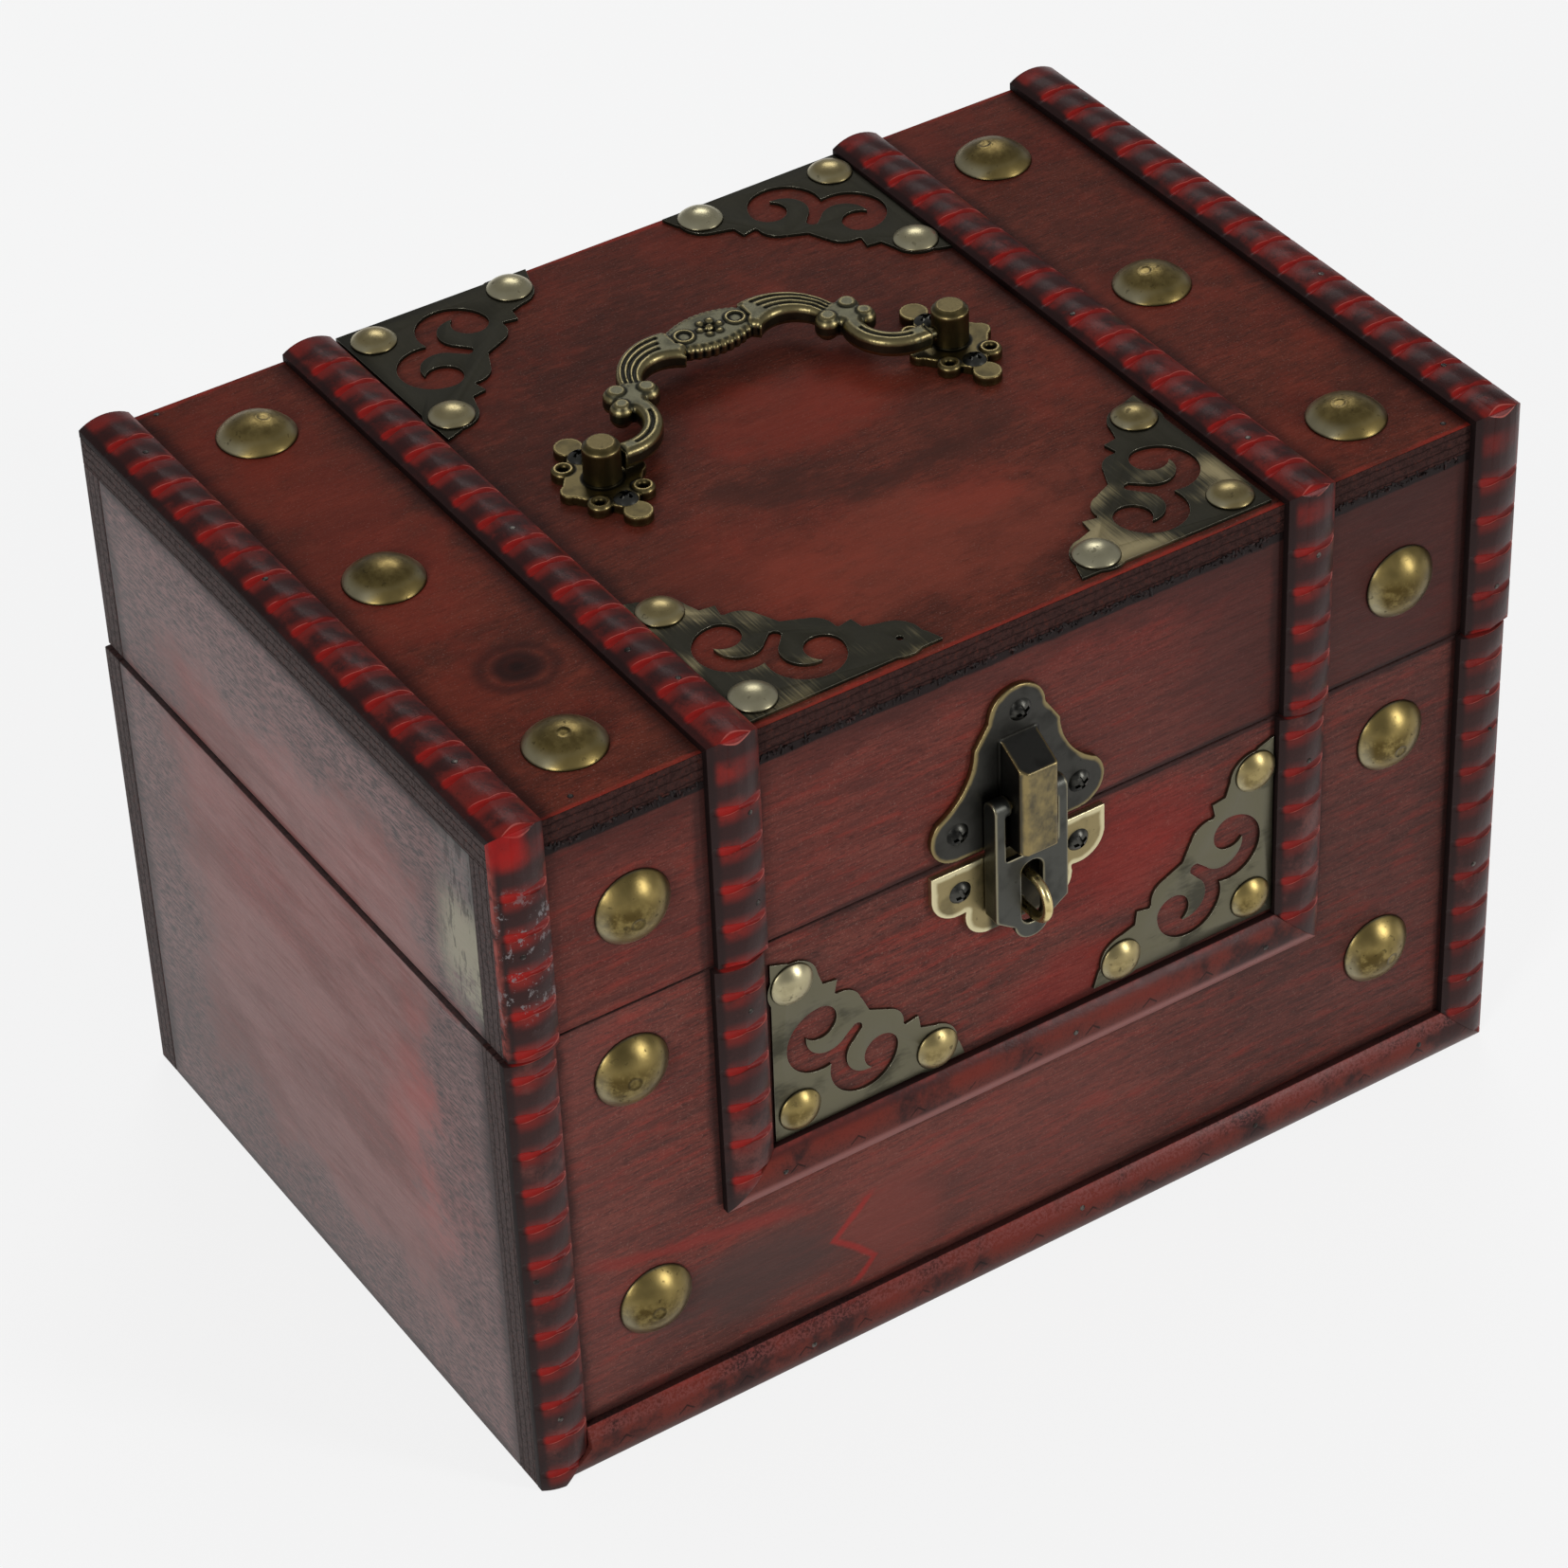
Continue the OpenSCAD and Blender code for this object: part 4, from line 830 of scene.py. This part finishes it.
heads = given.geo("InstanceOnPoints", {
    "Points": given, "Instance": head, "Rotation": facing_out})
heads = given.geo("RealizeInstances", {"Geometry": heads})
away = given.vector("DISTANCE", {0: spot, 1: dent}, "Value")
raised = away.step(0.0019, 0.0014) * away.step(0.0009, 0.0014)
push = away.step(0.0013, 0.0008) * -0.00013 + raised * 0.00005
moved = given.vector("SCALE", {0: out, "Scale": push})
heads = given.geo("SetPosition", {"Geometry": heads, "Offset": moved})
heads = given.geo("SetShadeSmooth", {"Geometry": heads})
close_recipe(tack_tree, heads, given)

tack_finish, here, facing = new_material("antique_brass_tack")
spot = here.kept("spot", "Vector")
tone = here.kept("tone")
dent = here.kept("dent", "Vector")
away = here.vector("DISTANCE", {0: spot, 1: dent}, "Value")
cloud = here.noise(190, 2, 0.5)
fine = here.noise(1500, 2, 0.6)
specks = here.noise(700, 2, 0.6, (3, 1, 5))
colour = colour_of(here, dull_brass).over(gold_brass, (cloud * 0.7 + tone * 0.5).step(0.2, 0.8))
colour = colour.over(silver_brass, tone.step(0.55, 1.0) * 0.7)
# dark patina over the middle of each top head, and a painted dark reflection across the middle band
# of each front head; a rim that hands and cloths rubbed bright, which on the front heads is a
# painted reflection along the lower edge only
reach = here.kept("reach")
flat = facing.axes()
on_front = flat[1].step(-0.35, -0.6) * (1 - flat[2].step(0.75, 0.9))
# painted dark reflection: a band across the middle of each front head, stronger on its left
band = flat[2].step(-0.55, -0.2) * flat[2].step(0.42, 0.1) * (0.55 + 0.45 * flat[0].step(0.5, -0.3))
blotch = here.noise(420, 4, 0.65, (8, 2, 1)) + (cloud - 0.5) * 0.5
middle = reach.step(0.86, 0.45) * (blotch.step(0.36, 0.62) * 0.6 + 0.4)
patina_and_dark_reflection = (middle * (1 - on_front) * 0.62).most(band * on_front * blotch.step(0.3, 0.6) * 0.85)
colour = colour.over(srgb(66, 52, 24), patina_and_dark_reflection * (1 - tone.step(0.5, 0.8) * 0.72))
# the rubbed bright rim, kept to the lower edge of the front heads as a painted reflection
rim = reach.step(0.6, 0.9) * flat[2].step(0.5, -0.5).most(1 - on_front)
colour = colour.coats(
    (srgb(196, 190, 160), rim * (0.35 + 0.4 * cloud)),
    (srgb(40, 33, 19), reach.step(0.94, 1.0) * 0.8),
    (black_wash, specks.step(0.62, 0.72) * 0.45))
ring = away.step(0.0016, 0.0013) * away.step(0.0007, 0.0011)
colour = colour.over(black_wash, ring * 0.45)
close_material(tack_finish, fine, 0.000012, Base_Color=colour, Metallic=1.0,
               Roughness=0.27 + 0.14 * cloud + 0.2 * specks.step(0.6, 0.74))

# a head's radius and rise, and how far the CAD's own head rises
big_head, small_head = (0.0077, 0.0041, 0.0032), (0.0045, 0.0023, 0.0021)
tack_rows = {"case_big_tacks": big_head, "lid_top_tacks": big_head, "lid_front_tacks": big_head,
             "case_small_tacks": small_head, "lid_small_tacks": small_head}
for node, (head_radius, head_rise, cad_rise) in tack_rows.items():
    small, on_top = node.endswith("small_tacks"), node in ("lid_top_tacks", "lid_small_tacks")
    out = (0, 0, 1) if on_top else (0, -1, 0)
    places, tones, dents = [], [], []
    for number, (low, high) in enumerate(solids_of(node)):
        middle = (low + high) / 2
        if on_top:
            places.append((middle.x, middle.y, high.z - cad_rise))
        else:
            places.append((middle.x, low.y + cad_rise, middle.z))
        chance = math.sin(number * 12.9898 + len(node) * 78.233) * 43758.5453 % 1
        tones.append((0.45 if small else 0.0) + (0.2 if on_top else 0.0) + 0.4 * chance)
        swing = chance * 6.3
        far = 0.2 if small or chance < 0.35 else 0.0016   # 0.2 is off the head: no dent
        dents.append((far * math.cos(swing), far * math.sin(swing), head_rise))
    piece = made_by(tack_tree, node + "_pressed", places,
                    {"out": [out] * len(places), "tone": tones, "dent": dents},
                    Radius=head_radius, Rise=head_rise, Material=tack_finish)
    stands_for(piece, node, "tacks")


# ---------------------------------------------------------------------------
# The steel pins: thin nails that hold the strips and the lid's top board, put
# in by eye, their small heads driven just below the varnish and gone grey.
# ---------------------------------------------------------------------------
pin_radius = 0.00062
pin_rise = 0.00022
pin_sink = 0.00012
pins_down = {"lid": [
    (-0.1031, 0.0579), (-0.1043, 0.0103), (-0.1035, -0.0546), (-0.0608, -0.002), (-0.0631, -0.0447),
    (-0.0603, -0.0568), (0.0606, -0.0041), (0.0624, -0.0564), (0.108, 0.0579), (0.1065, -0.0209),
    (0.1058, -0.0588), (-0.094, 0.0718), (-0.0906, -0.0706), (0.0967, -0.0702)]}
pins_back = {
    "lid": [(-0.059, 0.1365), (-0.0582, 0.1159), (0.0635, 0.1391), (0.1062, 0.1302),
            (0.1064, 0.1137), (-0.1052, 0.1268)],
    "case": [(-0.061, 0.0927), (-0.0587, 0.0632), (-0.0554, 0.0513), (0.0093, 0.052),
             (0.0537, 0.051), (0.0628, 0.0649), (0.0628, 0.0921), (0.1055, 0.0892),
             (0.1073, 0.0791), (0.1045, 0.0474), (0.1049, 0.0178), (-0.1079, 0.0524),
             (-0.1062, 0.0828), (-0.1057, 0.0173), (-0.051, 0.0052), (0.0108, 0.0066),
             (0.0523, 0.0062), (0.093, 0.0064)]}

pin_finish, here, facing = new_material("steel_pin")
cloud = here.noise(900, 2, 0.6)
colour = colour_of(here, srgb(96, 90, 84)).over(srgb(28, 22, 20), cloud.step(0.38, 0.56) * 0.9)
close_material(pin_finish, cloud, 0.00002, Base_Color=colour, Metallic=0.85,
               Roughness=0.34 + cloud * 0.2)


def surface_of(node):
    """A CAD node's surface, for finding where a pin meets it."""
    skin = bmesh.new()
    skin.from_mesh(frame["nodes"][node].data)
    surface = BVHTree.FromBMesh(skin)
    skin.free()
    return surface


surfaces = [surface_of(node) for node in list(strips) + ["lid_top_board"]]


def nailed_at(spot, way):
    """Where a pin driven along way from spot meets the wood, and how that lies."""
    hits = [surface.ray_cast(spot, way) for surface in surfaces]
    return min((hit for hit in hits if hit[0] is not None), key=lambda hit: hit[3])[:2]


for body in ("lid", "case"):
    starts = [(Vector((x, y, 0.2)), Vector((0, 0, -1))) for x, y in pins_down.get(body, [])]
    starts += [(Vector((x, -0.2, z)), Vector((0, 1, 0))) for x, z in pins_back[body]]
    places, outs = [], []
    for spot, way in starts:
        place, normal = nailed_at(spot, way)
        places.append(place - normal * pin_sink)
        outs.append(normal)
    piece = made_by(tack_tree, body + "_steel_pins", places,
                    {"out": outs, "tone": [0.0] * len(places), "dent": [(1, 0, 0)] * len(places)},
                    Radius=pin_radius, Rise=pin_rise, Lip=pin_sink, Rows=6, Around=12,
                    Material=pin_finish)
    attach(piece, body)


# ---------------------------------------------------------------------------
# The corner plates: pierced sheet, brushed and blackened, then rubbed so that
# every cut edge shows a thin bright line. Each sits under three small tacks.
# ---------------------------------------------------------------------------
plate_dark = srgb(34, 35, 31)
plate_olive = srgb(116, 106, 78)
rim_silver = srgb(150, 147, 130)


def brushed(name, bright, dark, share, rough, brush=(2600, 90, 2600), waves=60, darker=None):
    """Blackened sheet brushed along one way; share is how much is still dark,
    and darker says where it is darker still."""
    material, here, facing = new_material(name)
    cloud = here.noise(waves, 2, 0.5)
    lines = here.noise(brush, 2, 0.7)
    fine = here.noise(1800, 2, 0.6)
    if darker:
        cloud = cloud - darker(here)
    wash = (cloud + (lines - 0.5) * 0.25).step(0.3 + 0.4 * share, 0.1 + 0.4 * share)
    colour = colour_of(here, bright).over(dark, wash * 0.9)
    colour = colour.over(bright, lines.step(0.5, 0.8) * 0.2 * (1 - wash * 0.8))
    return close_material(material, lines * 0.7 + fine * 0.3, 0.000012, Base_Color=colour,
                          Metallic=1.0, Roughness=rough + 0.12 * wash + 0.08 * fine)


def plate_black(here):
    """The back plates and every tip of a top plate kept their black."""
    x, y, z = here.axes()
    back = y.step(-0.02, 0.02) * 0.35
    tips = (abs(abs(x - 0.0009) - 0.0915) - abs(abs(y) - 0.0565)) * 9
    return back + tips.most(-0.12).least(0.14)


top_plate_metal = brushed("brushed_top_plate", plate_olive, plate_dark, 0.6, 0.44,
                          darker=plate_black)
front_plate_metal = brushed("brushed_front_plate", srgb(104, 100, 82), srgb(66, 64, 53), 0.5, 0.36,
                            (300, 2600, 900), 90)
plate_rim = brushed("plate_cut_edge", rim_silver, srgb(92, 88, 72), 0.3, 0.3)
for node in ("case_plate_left", "case_plate_right", "top_plate_front_left", "top_plate_front_right",
             "top_plate_back_left", "top_plate_back_right"):
    piece = merged_copy(node, node + "_pierced")
    piece.data.materials.append(front_plate_metal if node.startswith("case") else top_plate_metal)
    piece.data.materials.append(plate_rim)
    rounded(piece, 0.00018, rim=1)
    stands_for(piece, node, "plates")


# ---------------------------------------------------------------------------
# The latch: cast zinc, plated brass, blackened and rubbed. The forked hasp
# swings on a pin through the boss, and its slot drops over the case's staple.
# ---------------------------------------------------------------------------
latch_x = -0.002          # the latch sits this far to the left of the middle


def cast(node, name, grain, passes=3, relief=None):
    """A CAD part as a casting: an even fine skin with its edges softened.

    The skin keeps for the finish how far each place stands proud of what is round it (worn);
    margin_of adds how far it is from a side wall (margin)."""
    piece = merged_copy(node, name)
    skin = piece.modifiers.new("skin", "REMESH")
    skin.mode, skin.voxel_size, skin.use_smooth_shade = "VOXEL", grain, True
    mesh = baked(piece)
    piece.modifiers.clear()
    piece.data = mesh
    count = len(mesh.vertices)
    ends = np.empty(len(mesh.edges) * 2, dtype=np.int64)
    mesh.edges.foreach_get("vertices", ends)
    ends = ends.reshape(-1, 2)
    joined = np.bincount(ends.ravel(), minlength=count)[:, None]

    def read(field):
        """The vertices' places or normals, three numbers to a row."""
        values = np.empty(count * 3)
        mesh.vertices.foreach_get(field, values)
        return values.reshape(-1, 3)

    def write(values):
        mesh.vertices.foreach_set("co", values.ravel())
        mesh.update()

    def around(values):
        """The mean of each vertex's neighbours."""
        total = np.zeros_like(values)
        np.add.at(total, ends[:, 0], values[ends[:, 1]])
        np.add.at(total, ends[:, 1], values[ends[:, 0]])
        return total / joined

    spots = read("co")
    for _ in range(passes):
        spots = spots * 0.5 + around(spots) * 0.5
    if relief:
        write(spots)
        spots = relief(spots, read("normal"))
    write(spots)
    proud = ((spots - around(spots)) * read("normal")).sum(1)[:, None] / grain
    for _ in range(4):
        proud = proud * 0.4 + around(proud) * 0.6
    layer = mesh.attributes.new("worn", "FLOAT", "POINT")
    layer.data.foreach_set("value", np.clip(proud.ravel() * 6 + 0.5, 0, 1).astype(np.float32))
    return piece


def margin_of(piece, wall):
    """Keeps at each vertex how far it is from the nearest vertex that is wall."""
    mesh = piece.data
    tree = KDTree(len(mesh.vertices))
    for number, vertex in enumerate(mesh.vertices):
        if wall(vertex.co, vertex.normal):
            tree.insert(vertex.co, number)
    tree.balance()
    layer = mesh.attributes.new("margin", "FLOAT", "POINT")
    for number, vertex in enumerate(mesh.vertices):
        layer.data[number].value = tree.find(vertex.co)[2]


def cast_metal(name, body, rubbed, deep, low=0.52, high=0.8, rough=0.3, margin=None, patches=None,
               darkened=None):
    """Blackened cast metal: rubbed on what stands proud, deep in the recesses."""
    material, here, facing = new_material(name)
    worn = here.kept("worn")
    cloud = here.noise(220, 2, 0.5)
    fine = here.noise(2200, 2, 0.6)
    pits = here.noise(900, 2, 0.6, (3, 3, 1))
    rub = (worn + (cloud - 0.5) * 0.18).step(low, high)
    if margin:
        near = here.kept("margin")
        rub = rub.most((near + (cloud - 0.5) * margin * 0.8).step(margin, margin * 0.45) * 0.85)
    if patches:
        rub = rub.most(patches(here, facing, cloud))
    sunk = worn.step(0.46, 0.25)
    colour = colour_of(here, body).over(deep, cloud.step(0.45, 0.7) * 0.4)
    colour = colour.coats(
        (deep, sunk * 0.9),
        (rubbed, rub),
        (deep, pits.step(0.66, 0.76) * 0.35))
    if darkened:
        colour = colour.over(deep, darkened(here))
    return close_material(material, fine, 0.000015, Base_Color=colour, Metallic=1.0,
                          Roughness=rough + 0.12 * fine + 0.1 * cloud - 0.06 * rub)


def boss_patches(here, facing, cloud):
    """The rubbed face of the boss: brightest near its edges, browner in its middle."""
    x, y, z = here.axes()
    face = (y + 0.0814).step(0.0004, -0.0002) * facing.axes()[2].step(0.6, 0.4)
    blotch = here.noise((420, 420, 300), 3, 0.6, (1, 6, 2))
    side = abs(x + 0.0014).step(0.0024, 0.0038)
    return face * (0.3 + 0.5 * side + (blotch - 0.4) * 2.0)


def behind_hasp(here):
    """The case plate is darker where the hasp covers it."""
    x, y, z = here.axes()
    return abs(x - latch_x).step(0.0075, 0.006) * 0.9


gunmetal = srgb(62, 61, 57)
fine_grain, plate_grain = 0.0002, 0.00022
screw_clear = 0.0034      # the screw holes' walls are nearer to the screw than this
latch_lid_metal = cast_metal("gunmetal_lid_plate", gunmetal, srgb(140, 124, 84), black_wash,
                             0.56, 1.0, margin=0.0011, patches=boss_patches)
latch_case_metal = cast_metal("rubbed_case_plate", srgb(144, 130, 92), srgb(214, 204, 164),
                              black_wash, margin=0.0014, darkened=behind_hasp)
hasp_metal = cast_metal("gunmetal_hasp", srgb(76, 76, 71), srgb(136, 130, 108), black_wash,
                        0.62, 1.0)
lid_screws = [(low + high) / 2 for low, high in solids_of("latch_lid_screws")]
piece = cast("latch_lid_plate", "latch_lid_plate_cast", plate_grain)
margin_of(piece, lambda spot, normal: abs(normal.y) < 0.6 and spot.y > -0.0746 and all(
    math.hypot(spot.x - screw.x, spot.z - screw.z) > screw_clear for screw in lid_screws))
stands_for(piece, "latch_lid_plate", "latch", latch_lid_metal)
piece = cast("latch_case_plate", "latch_case_plate_cast", fine_grain)
margin_of(piece, lambda spot, normal: abs(normal.y) < 0.6 and abs(spot.x - latch_x) > 0.004
          and math.hypot(abs(spot.x - latch_x) - 0.0153, spot.z - 0.0965) > screw_clear)
stands_for(piece, "latch_case_plate", "latch", latch_case_metal)
stands_for(cast("latch_hasp", "latch_hasp_cast", fine_grain), "latch_hasp", "latch", hasp_metal)

staple_metal = brushed("bright_staple", srgb(212, 194, 138), srgb(150, 130, 78), 0.3, 0.24,
                       500, 300)
screw_metal = brushed("black_screw", srgb(74, 73, 68), srgb(26, 26, 25), 0.6, 0.28, 900, 300)


def dressed(finish, *nodes):
    """Gives CAD nodes that are shown as they are their finish."""
    for node in nodes:
        mesh = frame["nodes"][node].data
        mesh.materials.clear()
        mesh.materials.append(finish)


dressed(staple_metal, "latch_staple", "latch_hasp_pin")
dressed(screw_metal, "latch_case_screws", "latch_lid_screws")


# ---------------------------------------------------------------------------
# The handle: a cast bail that turns on pins between two posts, each cast in
# one with its openwork rosette and held to the lid by two small black screws.
# ---------------------------------------------------------------------------
bail_axis = (0.0031, 0.156)
bail_tilt = math.radians(3)
bail_half_thick = 0.0021
bail_round = 0.0014       # how far in from its walls the casting is rounded
bail_middle = -0.00115
pins_from = 0.0336        # its two pins lie farther out than this


def rounded_bail(spots, normals):
    """Rounds the bail's faces down to its walls, as a casting leaves its mould."""
    sine, cosine = math.sin(bail_tilt), math.cos(bail_tilt)
    back, rise = spots[:, 1] - bail_axis[0], spots[:, 2] - bail_axis[1]
    out, depth = back * cosine + rise * sine, rise * cosine - back * sine
    lean = np.abs(normals[:, 2] * cosine - normals[:, 1] * sine)
    walls = np.nonzero(lean < 0.45)[0]
    tree = KDTree(len(walls))
    for number in walls:
        tree.insert((spots[number, 0], out[number], 0), int(number))
    tree.balance()
    inside = np.array([tree.find((x, y, 0))[2] for x, y in zip(spots[:, 0], out)])
    short = np.clip(bail_round - inside, 0, bail_round)
    drop = bail_round - np.sqrt(bail_round ** 2 - short ** 2)
    pins = np.abs(spots[:, 0] - bail_middle) > pins_from
    depth = np.where(pins, depth, depth * (1 - drop / bail_half_thick * 0.85))
    spots = spots.copy()
    spots[:, 1] = bail_axis[0] + out * cosine - depth * sine
    spots[:, 2] = bail_axis[1] + out * sine + depth * cosine
    return spots


handle_black = srgb(16, 15, 11)
handle_metal = cast_metal("antique_bail", srgb(76, 74, 58), srgb(138, 126, 88), handle_black,
                          0.54, 0.95)
post_metal = cast_metal("antique_posts", srgb(82, 72, 44), srgb(142, 126, 84), handle_black,
                        0.52, 0.95)
stands_for(cast("handle_bail", "handle_bail_cast", fine_grain, 2, rounded_bail),
           "handle_bail", "handle", handle_metal)
for node in ("handle_post_left", "handle_post_right"):
    stands_for(cast(node, node + "_cast", fine_grain), node, "handle", post_metal)
dressed(screw_metal, "handle_screws")


# ---------------------------------------------------------------------------
# The hinges: two small steel butt hinges, plated, on the back of the box.
# ---------------------------------------------------------------------------
hinge_metal = brushed("plated_hinge", srgb(128, 116, 82), srgb(66, 60, 46), 0.5, 0.32)
dressed(hinge_metal, "hinge_case_leaf_left", "hinge_case_leaf_right", "hinge_lid_leaf_left",
        "hinge_lid_leaf_right", "hinge_pins")
dressed(screw_metal, "hinge_case_screws", "hinge_lid_screws")
